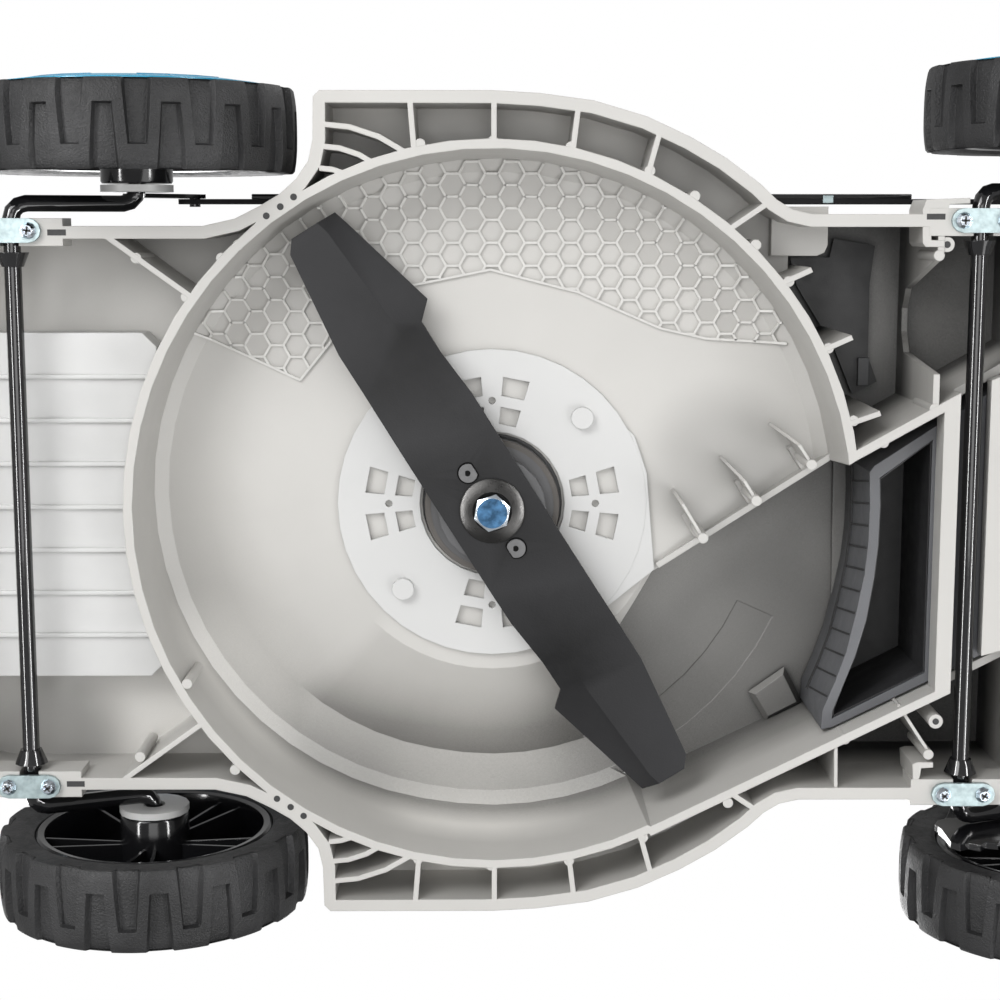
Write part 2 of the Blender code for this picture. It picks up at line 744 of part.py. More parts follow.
def deck_housing():
    look = ((0.60, 0.595, 0.575), 0.5)
    deck = part("deck_housing", prism(full_outline(DECK_HALF), RIM_Z, SKIRT_TOP), look)
    rear = [(REAR_BLOCK_X, 0.1665), (-0.299, 0.1665), (-0.3112, 0.1565), (-0.3112, -0.1565), (-0.299, -0.1665),
            (REAR_BLOCK_X, -0.1665)]
    add(deck, "add_rear_block", prism(rear, RIM_Z + 0.001, REAR_TOP))
    add(deck, "add_volute", volute(DECK_SKIN, RIM_Z + 0.0004))
    add(deck, "add_chute", prism(CHUTE_OUTER, RIM_Z + 0.0002, REAR_TOP - 0.0006))
    combine(deck, pocket_cutter(), "DIFFERENCE")
    cut(deck, "cut_chamber", volute(0.0, RIM_Z - 0.012))
    cut(deck, "cut_chute", prism(CHUTE_INNER, RIM_Z - 0.014, DEEP_ROOF - 0.0004))
    cut(deck, "cut_tunnel", prism(TUNNEL_INNER, SILL_TOP, DEEP_ROOF - 0.0008))
    add(deck, "add_cross_wall", cross_wall())
    cut(deck, "cut_cross_wall", cross_wall_cut())
    add(deck, "add_chute_wall", chute_wall())
    add(deck, "add_chute_gussets", chute_gussets())
    add(deck, "add_clamp_pads", clamp_pads())
    add(deck, "add_ears", handle_ears())
    cut(deck, "cut_rod_slots", rod_slots())
    cut(deck, "cut_screw_holes", screw_holes())
    cut(deck, "cut_hinge_holes", hinge_holes())
    cut(deck, "cut_motor_dish", lathe_solid(MOTOR_DISH, PLATEAU + DECK_SKIN, SKIRT_TOP + 0.02, 48))
    cut(deck, "cut_motor_hole", lathe_solid(MOTOR_HOLE, PLATEAU - 0.01, PLATEAU + 0.02, 32))
    return deck


def front_box():
    """The pale ribbed box seen in the nose of the deck."""
    top = LOW_ROOF - 0.0008 - CLEARANCE
    low = BOX_LOW
    back = BOX_FRONT - BOX_LENGTH
    corner = back + BOX_CORNER
    outline = [(corner, -BOX_HALF_WIDTH), (BOX_FRONT, -BOX_HALF_WIDTH), (BOX_FRONT, BOX_HALF_WIDTH),
               (corner, BOX_HALF_WIDTH), (back, BOX_HALF_WIDTH - BOX_CORNER), (back, BOX_CORNER - BOX_HALF_WIDTH)]
    look = ((0.78, 0.78, 0.77), 0.45)
    obj = part("front_box", prism(outline, low, top), look)
    ribs = []
    for i in range(BOX_RIBS):
        y = BOX_RIB_PITCH * (BOX_RIBS - 1 - 2 * i) / 2
        ribs.append(box((back + 0.0015, y - BOX_RIB / 2, low - 0.0022), (BOX_FRONT - 0.002, y + BOX_RIB / 2, low + 0.002)))
    add(obj, "add_box_ribs", gather(ribs))
    cut(obj, "cut_box_back", lathe_solid(RING_RADIUS + RING_WALL + 0.0015, low - 0.01, top + 0.01, RING_STEPS))
    return obj


def sector(inner, outer, start, end, low, high):
    a = math.radians(start)
    b = math.radians(end)
    outline = [(inner * math.cos(a), inner * math.sin(a)), (outer * math.cos(a), outer * math.sin(a)),
               (outer * math.cos(b), outer * math.sin(b)), (inner * math.cos(b), inner * math.sin(b))]
    return prism(outline, low, high)


def motor_plate():
    look = ((0.80, 0.80, 0.79), 0.4)
    top = PLATE_Z + PLATE_THICK
    plate = part("motor_plate", lathe_solid(PLATE_RADIUS, PLATE_Z, top, 40), look)
    add(plate, "add_plate_tail", prism(PLATE_TAIL, PLATE_Z + 0.0002, top - 0.0002))
    windows = []
    for quarter in range(4):
        for low, high in WINDOW_ANGLES:
            for inner, outer in WINDOW_RINGS:
                turn = 90.0 * quarter
                windows.append(sector(inner, outer, turn + low, turn + high, PLATE_Z - 0.01, top + 0.01))
        angle = math.pi / 2 * quarter
        spot = (PLATE_SCREW_RADIUS * math.cos(angle), PLATE_SCREW_RADIUS * math.sin(angle), PLATE_Z - 0.01)
        windows.append(disc(spot, (0, 0, 1), 0.0022, 0.02, 8))
    cut(plate, "cut_plate_windows", gather(windows))
    cut(plate, "cut_plate_hole", lathe_solid(PLATE_HOLE, PLATE_Z - 0.01, top + 0.01, 28))
    pegs = [disc((x, y, PLATE_Z - 0.004), (0, 0, 1), 0.0065, 0.005, 12) for x, y in PLATE_PEGS]
    add(plate, "add_plate_pegs", gather(pegs))
    return plate


def motor_body():
    seat = PLATEAU + DECK_SKIN + CLEARANCE
    profile = [
        (SHAFT_RADIUS + RUNNING_GAP, MOTOR_FACE_Z), (MOTOR_NECK - 0.002, MOTOR_FACE_Z),
        (MOTOR_NECK, MOTOR_FACE_Z + 0.002), (MOTOR_NECK, seat), (MOTOR_RADIUS, seat),
        (MOTOR_RADIUS, MOTOR_TOP - 0.004), (MOTOR_RADIUS - 0.004, MOTOR_TOP), (SHAFT_RADIUS + RUNNING_GAP, MOTOR_TOP),
    ]
    return part("motor_body", lathe(profile, 24), ((0.055, 0.055, 0.06), 0.45))


def blade_adapter():
    """Shaft end, boss and the two pins that turn the blade."""
    start = BLADE_Z + BLADE_THICK + CLEARANCE
    body = part("blade_adapter", lathe_solid(ADAPTER_RADIUS, start, MOTOR_FACE_Z - RUNNING_GAP, 20),
                ((0.09, 0.09, 0.095), 0.5, 0.3))
    add(body, "add_shaft", lathe_solid(SHAFT_RADIUS, start + 0.004, MOTOR_TOP - 0.01, 12))
    flange = lathe_solid(0.031, start + 0.0002, start + 0.004, 20)
    add(body, "add_flange", flange)
    pins = []
    for sign in (1, -1):
        spot = blade_point(sign * BLADE_PIN_REACH, 0.0, BLADE_Z - 0.0015)
        pins.append(disc(spot, (0, 0, 1), BLADE_PIN_RADIUS, 0.006, 12))
    add(body, "add_drive_pins", gather(pins))
    cut(body, "cut_bolt_bore", lathe_solid(0.0052, start - 0.01, start + 0.0125, 12))
    return body


def blade_point(along, across, z):
    angle = math.radians(BLADE_ANGLE)
    c = math.cos(angle)
    s = math.sin(angle)
    return (along * c - across * s, along * s + across * c, z)


def blade():
    """Both arms as one bar: stations along it, each with four points across, top and bottom."""
    stations = []
    for along, lead, sail, trail, height, lift in BLADE_ARM[:0:-1]:
        stations.append((-along, [(-lead, height), (-sail, height), (-trail, height + lift)]))
    for along, lead, sail, trail, height, lift in BLADE_ARM:
        stations.append((along, [(lead, height), (sail, height), (trail, height + lift)]))
    bm = bmesh.new()
    rings = []
    for along, row in stations:
        row = sorted(row)
        under = [bm.verts.new(blade_point(along, v, BLADE_Z + z)) for v, z in row]
        over = [bm.verts.new(blade_point(along, v, BLADE_Z + BLADE_THICK + z)) for v, z in reversed(row)]
        rings.append(under + over)
    for here, after in zip(rings, rings[1:]):
        for j in range(6):
            k = (j + 1) % 6
            bm.faces.new((here[j], here[k], after[k], after[j]))
    for ring in (rings[0], rings[-1]):
        bm.faces.new((ring[0], ring[1], ring[4], ring[5]))
        bm.faces.new((ring[1], ring[2], ring[3], ring[4]))
    bmesh.ops.triangulate(bm, faces=bm.faces)
    bar = part("blade", bm, ((0.022, 0.022, 0.024), 0.42, 0.2))
    holes = [disc((0, 0, BLADE_Z - 0.01), (0, 0, 1), 0.0053, 0.02, 12)]
    for sign in (1, -1):
        spot = blade_point(sign * BLADE_PIN_REACH, 0.0, BLADE_Z - 0.01)
        holes.append(disc(spot, (0, 0, 1), BLADE_PIN_RADIUS + CLEARANCE, 0.02, 12))
    cut(bar, "cut_blade_holes", gather(holes))
    return bar


def blade_washer():
    top = BLADE_Z - CLEARANCE
    profile = [(0.0055, top - 0.0030), (0.0110, top - 0.0034), (0.0180, top - 0.0022), (WASHER_RADIUS, top - 0.0010),
               (WASHER_RADIUS, top), (0.0055, top)]
    return part("blade_washer", lathe(profile, 20), ((0.02, 0.02, 0.022), 0.35, 0.3))


def blade_bolt():
    top = BLADE_Z - CLEARANCE - 0.0034 - CLEARANCE
    radius = BOLT_ACROSS_FLATS / math.sqrt(3)
    outline = [(radius * math.cos(math.radians(60 * i + 22)), radius * math.sin(math.radians(60 * i + 22)))
               for i in range(6)]
    bolt = part("blade_bolt", prism(outline, top - BOLT_HEAD, top - 0.0012), ((0.42, 0.55, 0.68), 0.25, 1.0))
    add(bolt, "add_bolt_flange", lathe_solid(0.0108, top - 0.0016, top, 20))
    add(bolt, "add_bolt_shank", lathe_solid(0.0048, top - 0.0008, BLADE_Z + BLADE_THICK + 0.0115, 10))
    return bolt


def tyre():
    """A tyre about Y, centred on the origin, with pockets from each side of the tread in turn."""
    half = TYRE_WIDTH / 2
    profile = [
        (TYRE_BORE, -half + 0.0004), (TYRE_BORE, half - 0.0004), (TYRE_SHOULDER, half),
        (WHEEL_RADIUS, TYRE_RIDGE), (WHEEL_RADIUS, -TYRE_RIDGE), (TYRE_SHOULDER, -half),
    ]
    bm = lathe(profile, WHEEL_STEPS, along_y=True)
    bm.normal_update()
    bm.faces.ensure_lookup_table()
    count = len(profile)
    chosen = []
    for i in range(WHEEL_STEPS):
        row = 2 if i % 2 else 4
        chosen.append(bm.faces[i * count + row])
    bmesh.ops.recalc_face_normals(bm, faces=bm.faces)
    bmesh.ops.inset_individual(bm, faces=chosen, thickness=POCKET_MARGIN, depth=-POCKET_DEPTH)
    return bm


def rim():
    """Wheel rim with hub and spokes, about Y; +Y is its outer side."""
    half = TYRE_WIDTH / 2
    bore = TYRE_BORE - CLEARANCE
    ring = [(bore, -half + 0.0035), (bore, half - 0.0035), (bore - 0.005, half - 0.0035), (bore - 0.0065, -half + 0.0035)]
    body = part("rim_front_left", lathe(ring, WHEEL_STEPS, along_y=True), ((0.012, 0.012, 0.013), 0.2),
                smooth=False)
    hub = [(ROD_RADIUS + RUNNING_GAP, -HUB_REACH + 0.001), (HUB_RADIUS - 0.001, -HUB_REACH + 0.001),
           (HUB_RADIUS, half - 0.006), (ROD_RADIUS + RUNNING_GAP, half - 0.006)]
    add(body, "add_hub", lathe(hub, HUB_STEPS, along_y=True))
    spokes = []
    for i in range(SPOKES):
        spoke = box((-0.005, 0.0, HUB_RADIUS - 0.002), (0.005, half - 0.007, bore - 0.003))
        spin = Matrix.Rotation(2 * math.pi * (i + 0.5) / SPOKES, 4, "Y")
        bmesh.ops.transform(spoke, matrix=spin, verts=spoke.verts)
        spokes.append(spoke)
    add(body, "add_spokes", gather(spokes))
    return body


def hubcap_mesh():
    half = TYRE_WIDTH / 2
    profile = [(0.0, 0.0), (CAP_RADIUS, 0.0), (CAP_RADIUS, 0.0012), (0.060, 0.0036), (0.0, 0.0055)]
    bm = bmesh.new()
    centre_in = bm.verts.new((0.0, half + CLEARANCE, 0.0))
    centre_out = bm.verts.new((0.0, half + CLEARANCE + profile[-1][1], 0.0))
    rings = []
    for i in range(CAP_STEPS):
        angle = 2 * math.pi * (i + 0.5) / CAP_STEPS
        rings.append([bm.verts.new((r * math.sin(angle), half + CLEARANCE + h, r * math.cos(angle)))
                      for r, h in profile[1:-1]])
    for here, after in zip(rings, rings[1:] + rings[:1]):
        bm.faces.new((centre_in, here[0], after[0]))
        for j in range(len(here) - 1):
            bm.faces.new((here[j], here[j + 1], after[j + 1], after[j]))
        bm.faces.new((here[-1], centre_out, after[-1]))
    return bm


def wheel_places():
    """Name, crank centre x, tyre y and arm y of each wheel."""
    front = FRONT_ROD_X - CRANK_BACK
    rear = REAR_ROD_X - CRANK_BACK
    return [
        ("front_left", front, FRONT_TYRE_Y), ("front_right", front, -FRONT_TYRE_Y),
        ("rear_left", rear, REAR_TYRE_Y), ("rear_right", rear, -REAR_TYRE_Y),
    ]


def wheels():
    tyre_look = ((0.028, 0.028, 0.030), 0.75)
    rim_look = ((0.012, 0.012, 0.013), 0.2)
    cap_look = ((0.0, 0.27, 0.52), 0.3)
    spacer_look = ((0.42, 0.42, 0.41), 0.5)
    first_tyre = None
    for name, x, y in wheel_places():
        spot = (x, y, WHEEL_Z)
        turn = 0.0 if y > 0 else math.pi
        if first_tyre is None:
            first_tyre = part("tyre_" + name, tyre(), tyre_look)
            first_rim = rim()
            first_cap = part("hubcap_" + name, hubcap_mesh(), cap_look)
            first_spacer = part("hub_spacer_" + name, spacer(), spacer_look)
            rim_bodies = [step.object for step in first_rim.modifiers]
            for obj in [first_tyre, first_rim, first_cap, first_spacer] + rim_bodies:
                obj.location = spot
            continue
        copy_part(first_tyre, "tyre_" + name, tyre_look, spot, turn)
        copy_rim(first_rim, name, rim_look, spot, turn)
        copy_part(first_cap, "hubcap_" + name, cap_look, spot, turn)
        copy_part(first_spacer, "hub_spacer_" + name, spacer_look, spot, turn)


def copy_rim(source, name, look, spot, turn):
    """A rim with its own hub and spoke bodies, so that each wheel can turn alone."""
    obj = copy_part(source, "rim_" + name, look, spot, turn)
    for step in obj.modifiers:
        old = step.object
        new = place(old.name + "_" + name, old.data, spot, CUTTERS)
        new.rotation_euler = (0.0, 0.0, turn)
        new.hide_render = True
        new.display_type = "WIRE"
        step.object = new


def spacer():
    start = -HUB_REACH - SPACER_THICK + 0.0005
    bore = ROD_RADIUS + SPACER_PLAY
    profile = [(bore, start), (HUB_RADIUS, start), (HUB_RADIUS, start + SPACER_THICK), (bore, start + SPACER_THICK)]
    return lathe(profile, HUB_STEPS, along_y=True)


def axle(name, rod_x, arm_y, tyre_y):
    """A cranked axle: cross rod, two arms, two wheel stubs, and the left bracket with its link pin."""
    pivot = (rod_x, 0.0, ROD_Z)
    wheel_x = rod_x - CRANK_BACK
    end = tyre_y + STUB_PAST_TYRE
    corners = [(wheel_x, -end, WHEEL_Z), (wheel_x, -arm_y, WHEEL_Z), (rod_x, -arm_y, ROD_Z),
               (rod_x, arm_y, ROD_Z), (wheel_x, arm_y, WHEEL_Z), (wheel_x, end, WHEEL_Z)]
    body = part(name, tube_mesh(bent_line(corners, CRANK_BEND, BEND_STEPS), ROD_RADIUS, 8), ((0.015, 0.015, 0.016), 0.12, 0.3),
                pivot, smooth=True)
    pin_x = rod_x - LINK_PIN_BACK
    pin_z = ROD_Z + LINK_PIN_UP
    low = BRACKET_Y - BRACKET_THICK / 2
    high = BRACKET_Y + BRACKET_THICK / 2
    plate = side_prism([(wheel_x - 0.006, WHEEL_Z - 0.007), (wheel_x + 0.008, WHEEL_Z - 0.001),
                        (pin_x + 0.007, pin_z + 0.006), (pin_x - 0.004, pin_z + 0.007), (pin_x - 0.007, pin_z - 0.004)],
                       low, high)
    add(body, "add_bracket_" + name, plate)
    pin = disc((pin_x, LINK_Y - 0.0030, pin_z), (0, 1, 0), PIN_RADIUS, BRACKET_Y - LINK_Y + 0.0030, 12)
    add(body, "add_pin_" + name, pin)
    collars = []
    for side in (1, -1):
        start = (rod_x, side * (abs(arm_y) - COLLAR_INSIDE), ROD_Z)
        collars.append(disc(start, (0, -side, 0), COLLAR_RADIUS, COLLAR_LENGTH, 12, COLLAR_TIP))
    add(body, "add_collars_" + name, gather(collars))
    return body


def link_rod():
    front = FRONT_ROD_X - LINK_PIN_BACK
    rear = REAR_ROD_X - LINK_PIN_BACK
    z = ROD_Z + LINK_PIN_UP
    outline = [(front + 0.009, z - LINK_HALF_HEIGHT + 0.003), (front + 0.009, z + LINK_HALF_HEIGHT - 0.003),
               (front + 0.005, z + LINK_HALF_HEIGHT), (rear - 0.005, z + LINK_HALF_HEIGHT),
               (rear - 0.009, z + LINK_HALF_HEIGHT - 0.003), (rear - 0.009, z - LINK_HALF_HEIGHT + 0.003),
               (rear - 0.005, z - LINK_HALF_HEIGHT), (front + 0.005, z - LINK_HALF_HEIGHT)]
    low = LINK_Y - LINK_THICK / 2
    bar = part("link_rod", side_prism(outline, low, low + LINK_THICK), ((0.02, 0.02, 0.021), 0.35, 0.3),
               (front, LINK_Y, z))
    holes = [disc((x, LINK_Y - 0.01, z), (0, 1, 0), PIN_RADIUS + CLEARANCE, 0.02, 12) for x in (front, rear)]
    cut(bar, "cut_link_holes", gather(holes))
    return bar


def height_lever():
    """Flat lever that turns with the rear axle, with a rounded grip."""
    pivot = Vector((REAR_ROD_X, 0.0, ROD_Z))
    angle = math.radians(LEVER_ANGLE)
    up = Vector((math.sin(angle), 0.0, math.cos(angle)))
    side = Vector((up.z, 0.0, -up.x))
    spots = []
    for along, across in ((-0.010, -0.006), (-0.010, 0.006), (0.0, 0.011), (0.03, 0.009),
                          (LEVER_LENGTH, 0.009), (LEVER_LENGTH, -0.009), (0.03, -0.009), (0.0, -0.011)):
        p = pivot + up * along + side * across
        spots.append((p.x, p.z))
    outer = NOTCH_OUTER_Y - CLEARANCE
    blade_plate = side_prism(spots, outer - LEVER_THICK, outer)
    lever = part("height_lever", blade_plate, ((0.02, 0.02, 0.021), 0.35, 0.3), tuple(pivot))
    grip_centre = pivot + up * (LEVER_LENGTH - 0.016)
    grip = disc((grip_centre.x, outer - 0.032, grip_centre.z), (0, 1, 0), 0.013, 0.046, 14, 0.010)
    add(lever, "add_lever_grip", grip)
    return lever


def notch_plate():
    """Notched sector on the end of the rear axle, beside the right wheel."""
    outline = []
    for i in range(15):
        angle = math.radians(165 + i * 9)
        reach = SECTOR_RADIUS if i % 2 else SECTOR_RADIUS - 0.004
        outline.append((REAR_ROD_X + reach * math.cos(angle), ROD_Z + reach * math.sin(angle)))
    for i in range(5):
        angle = math.radians(330 + i * 36)
        reach = 0.013
        outline.append((REAR_ROD_X + reach * math.cos(angle), ROD_Z + reach * math.sin(angle)))
    inner = -(REAR_ARM_Y + ROD_RADIUS + CLEARANCE)
    return part("notch_plate", side_prism(outline, NOTCH_OUTER_Y, inner), ((0.02, 0.02, 0.021), 0.45, 0.1),
                (REAR_ROD_X, 0.0, ROD_Z))


def clamps_and_screws():
    zinc = ((0.62, 0.66, 0.70), 0.32, 1.0)
    top = RIM_Z - CLEARANCE
    low = top - CLAMP_THICK
    for name, x, y in clamp_places():
        outline = []
        for end in (1, -1):
            for i in range(7):
                angle = math.radians(-90 + 30 * i) if end == 1 else math.radians(90 + 30 * i)
                outline.append((x + end * CLAMP_SCREW + CLAMP_WIDTH / 2 * math.cos(angle),
                                y + CLAMP_WIDTH / 2 * math.sin(angle)))
        clamp = part("axle_clamp_" + name, prism(outline, low, top), zinc)
        holes = []
        for number, step in ((1, CLAMP_SCREW), (2, -CLAMP_SCREW)):
            holes.append(disc((x + step, y, low - 0.005), (0, 0, 1), SCREW_SHANK + CLEARANCE, 0.02, 8))
            screw(name, number, x + step, y, low, zinc)
        cut(clamp, "cut_clamp_" + name, gather(holes))


def screw(name, number, x, y, low, look):
    head_top = low - CLEARANCE
    bm = disc((x, y, head_top - SCREW_HEAD), (0, 0, 1), SCREW_HEAD_RADIUS * 0.62, SCREW_HEAD, 10, SCREW_HEAD_RADIUS)
    body = part("clamp_screw_%s_%d" % (name, number), bm, look)
    shank = disc((x, y, head_top - 0.0005), (0, 0, 1), SCREW_SHANK, SCREW_DEPTH, 6)
    add(body, "add_shank_%s_%d" % (name, number), shank)
    slot = gather([box((x - 0.0021, y - 0.0005, head_top - 0.01), (x + 0.0021, y + 0.0005, head_top - 0.0014))])
    cut(body, "cut_slot_%s_%d" % (name, number), slot)


def mulch_plug():
    look = ((0.075, 0.077, 0.085), 0.5)
    plug = part("mulch_plug", prism(PLUG_OUTLINE, PLUG_BOTTOM, PLUG_TOP), look)
    cut(plug, "cut_plug_hollow", prism(PLUG_HOLLOW, PLUG_BOTTOM - 0.01, PLUG_TOP - PLUG_WALL))
    add(plug, "add_plug_pull", box(*PLUG_PULL))
    return plug


def rear_flap():
    pivot = (FLAP_HINGE_X, FLAP_CENTRE_Y, FLAP_HINGE_Z)
    angle = math.radians(FLAP_SLOPE)
    low = FLAP_CENTRE_Y - FLAP_HALF_WIDTH
    high = FLAP_CENTRE_Y + FLAP_HALF_WIDTH
    back = Vector((-math.cos(angle), -math.sin(angle)))
    up = Vector((-back.y, back.x))
    if up.y < 0:
        up = -up
    hinge = Vector((FLAP_HINGE_X, FLAP_HINGE_Z))
    spots = [hinge - up * 0.003, hinge + back * FLAP_LENGTH - up * 0.003, hinge + back * (FLAP_LENGTH + 0.002),
             hinge + back * FLAP_LENGTH + up * 0.001, hinge + up * 0.003]
    bm = side_prism([(p.x, p.y) for p in spots], low, high)
    flap = part("rear_flap", bm, ((0.03, 0.03, 0.033), 0.55), pivot)
    barrel = disc((FLAP_HINGE_X, low - 0.013, FLAP_HINGE_Z), (0, 1, 0), HINGE_RADIUS, high - low + 0.026, 12)
    add(flap, "add_flap_barrel", barrel)
    return flap


def cover_outline(x0, x1, half):
    """A rounded rectangle in plan, as a superellipse."""
    middle = (x0 + x1) / 2
    reach = (x1 - x0) / 2
    points = []
    for i in range(COVER_STEPS):
        angle = 2 * math.pi * i / COVER_STEPS
        c = math.cos(angle)
        s = math.sin(angle)
        points.append((middle + reach * math.copysign(abs(c) ** (2 / COVER_POWER), c),
                       half * math.copysign(abs(s) ** (2 / COVER_POWER), s)))
    return points


def cover_body(shrink, lower, top_drop):
    bm = bmesh.new()
    rings = []
    for number, (z, x0, x1, half) in enumerate(COVER_LEVELS):
        height = z - lower if number == 0 else z - top_drop
        outline = cover_outline(x0 + shrink, x1 - shrink, half - shrink)
        rings.append([bm.verts.new((x, y, height)) for x, y in outline])
    bm.faces.new(rings[0][::-1])
    for here, after in zip(rings, rings[1:]):
        for j in range(COVER_STEPS):
            k = (j + 1) % COVER_STEPS
            bm.faces.new((here[j], here[k], after[k], after[j]))
    bm.faces.new(rings[-1])
    return bm


def top_cover():
    look = ((0.0, 0.085, 0.22), 0.3)
    cover = part("top_cover", cover_body(0.0, 0.0, 0.0), look)
    cut(cover, "cut_cover_hollow", cover_body(COVER_WALL, 0.01, COVER_WALL))
    cut(cover, "cut_cover_seat", volute(DECK_SKIN + SEAT_GAP, RIM_Z))
    chute_seat = prism(inset(CHUTE_OUTER, -CLEARANCE), RIM_Z, REAR_TOP)
    cut(cover, "cut_cover_chute_seat", chute_seat)
    cut(cover, "cut_cover_rear_seat", box((-0.25, -0.16, RIM_Z), (REAR_BLOCK_X + CLEARANCE, 0.16, REAR_TOP + CLEARANCE)))
    x0, x1, half = BAY
    gap = CLEARANCE
    cut(cover, "cut_bay_mouth", box((x0 - gap, -half - gap, 0.195), (x1 + gap, half + gap, 0.25)))
    slots = []
    for i in range(VENT_COUNT):
        x = VENT_START + VENT_PITCH * i
        for side in (1, -1):
            low, high = sorted(side * reach for reach in VENT_REACH)
            slots.append(box((x, low, 0.190), (x + VENT_WIDE, high, 0.23)))
    cut(cover, "cut_vents", gather(slots))
    cut(cover, "cut_key_hole", disc((KEY_X, 0, 0.19), (0, 0, 1), KEY_HOLE, 0.05, 20))
    return cover


def battery_bay():
    x0, x1, half = BAY
    look = ((0.02, 0.02, 0.022), 0.55)
    bay = part("battery_bay", box((x0, -half, BAY_FLOOR), (x1, half, BAY_RIM)), look)
    wall = BAY_WALL
    cut(bay, "cut_bay_hollow", box((x0 + wall, -half + wall, BAY_FLOOR + wall), (x1 - wall, half - wall, BAY_RIM + 0.02)))
    edge = BAY_FLANGE
    rim_plate = box((x0 - edge, -half - edge, BAY_FLANGE_LOW), (x1 + edge, half + edge, BAY_RIM + 0.0002))
    add(bay, "add_bay_rim", rim_plate)
    cut(bay, "cut_bay_mouth_rim", box((x0 + wall, -half + wall, BAY_FLOOR + 0.02), (x1 - wall, half - wall, BAY_RIM + 0.02)))
    return bay


def battery_pack():
    x0, x1, half = BAY
    gap = BATTERY_PLAY
    low = BAY_FLOOR + BAY_WALL + CLEARANCE
    pack = part("battery_pack", box((x0 + gap, -half + gap, low), (x1 - gap, half - gap, BATTERY_TOP)),
                ((0.045, 0.045, 0.05), 0.5))
    start, end = GRIP_SLOT
    slots = []
    for side in (1, -1):
        low, high = sorted((side * (half - GRIP_DEPTH), side * (half + 0.01)))
        slots.append(box((x0 + GRIP_END, low, start), (x1 - GRIP_END, high, end)))
    cut(pack, "cut_grip", gather(slots))
    return pack


def safety_key():
    key = part("safety_key", lathe_solid(KEY_RADIUS, 0.196, 0.2165, 20), ((0.65, 0.02, 0.015), 0.4))
    for v in key.data.vertices:
        v.co.x += KEY_X
    reach, thick, low, high = KEY_WING
    add(key, "add_key_wing", box((KEY_X - reach, -thick, low), (KEY_X + reach, thick, high)))
    return key


def hollow_tube(name, corners, bend, look, pivot, overrun):
    """A bent tube with open ends."""
    line = bent_line(corners, bend, BEND_STEPS)
    outer = tube_mesh(line, TUBE_RADIUS, TUBE_SIDES)
    first = line[0] + (line[0] - line[1]).normalized() * overrun
    last = line[-1] + (line[-1] - line[-2]).normalized() * overrun
    inner = tube_mesh([first] + line[1:-1] + [last], TUBE_BORE, TUBE_SIDES)
    body = part(name, outer, look, pivot, smooth=True)
    cut(body, "cut_bore_" + name, inner)
    return body


def bolt_cut(body, name, x, z, y):
    cut(body, name, disc((x, y - 0.02, z), (0, 1, 0), BOLT_BORE, 0.04, BOLT_SIDES))


def handle():
    black = ((0.018, 0.018, 0.019), 0.3, 0.2)
    lower_pivot = (PIVOT_X, 0.0, PIVOT_Z)
    slope = Vector((FOLD_X - PIVOT_X, 0.0, FOLD_Z - PIVOT_Z)).normalized()
    foot = Vector(lower_pivot) - slope * LEG_FOOT
    for name, side in (("left", 1), ("right", -1)):
        y = LOWER_Y * side
        start = (foot.x, y, foot.z)
        top = Vector((FOLD_X, y, FOLD_Z)) + slope * LEG_OVERLAP
        leg = hollow_tube("handle_lower_" + name, [start, tuple(top)], 0.01, black, lower_pivot, 0.005)
        bolt_cut(leg, "cut_pivot_%s" % name, PIVOT_X, PIVOT_Z, y)
        bolt_cut(leg, "cut_fold_%s" % name, FOLD_X, FOLD_Z, y)
    brace = Vector(lower_pivot).lerp(Vector((FOLD_X, 0.0, FOLD_Z)), BRACE_SHARE)
    reach = LOWER_Y - TUBE_RADIUS - CLEARANCE
    part("handle_brace", disc((brace.x, -reach, brace.z), (0, 1, 0), BRACE_RADIUS, 2 * reach, 14), black, lower_pivot, True)
    handle_upper(black)
    handle_bolts()


def upper_slope():
    return Vector((BAIL_X - FOLD_X, 0.0, BAIL_Z - FOLD_Z)).normalized()


def handle_upper(black):
    slope = upper_slope()
    fold = (FOLD_X, 0.0, FOLD_Z)
    start = Vector(fold) - slope * LEG_OVERLAP
    corners = [(start.x, UPPER_Y, start.z), (BAIL_X, UPPER_Y, BAIL_Z), (GRIP_X, 0.160, GRIP_Z),
               (GRIP_X, -0.160, GRIP_Z), (BAIL_X, -UPPER_Y, BAIL_Z), (start.x, -UPPER_Y, start.z)]
    body = hollow_tube("handle_upper", corners, 0.045, black, fold, 0.005)
    for name, side in (("left", 1), ("right", -1)):
        bolt_cut(body, "cut_upper_%s" % name, FOLD_X, FOLD_Z, UPPER_Y * side)
    spot = (FOLD_X + slope.x * BAIL_PIVOT, UPPER_Y - 0.02, FOLD_Z + slope.z * BAIL_PIVOT)
    cut(body, "cut_bail_hole", disc(spot, (0, 1, 0), BAIL_ROD + CLEARANCE, 0.018, 12))
    return body


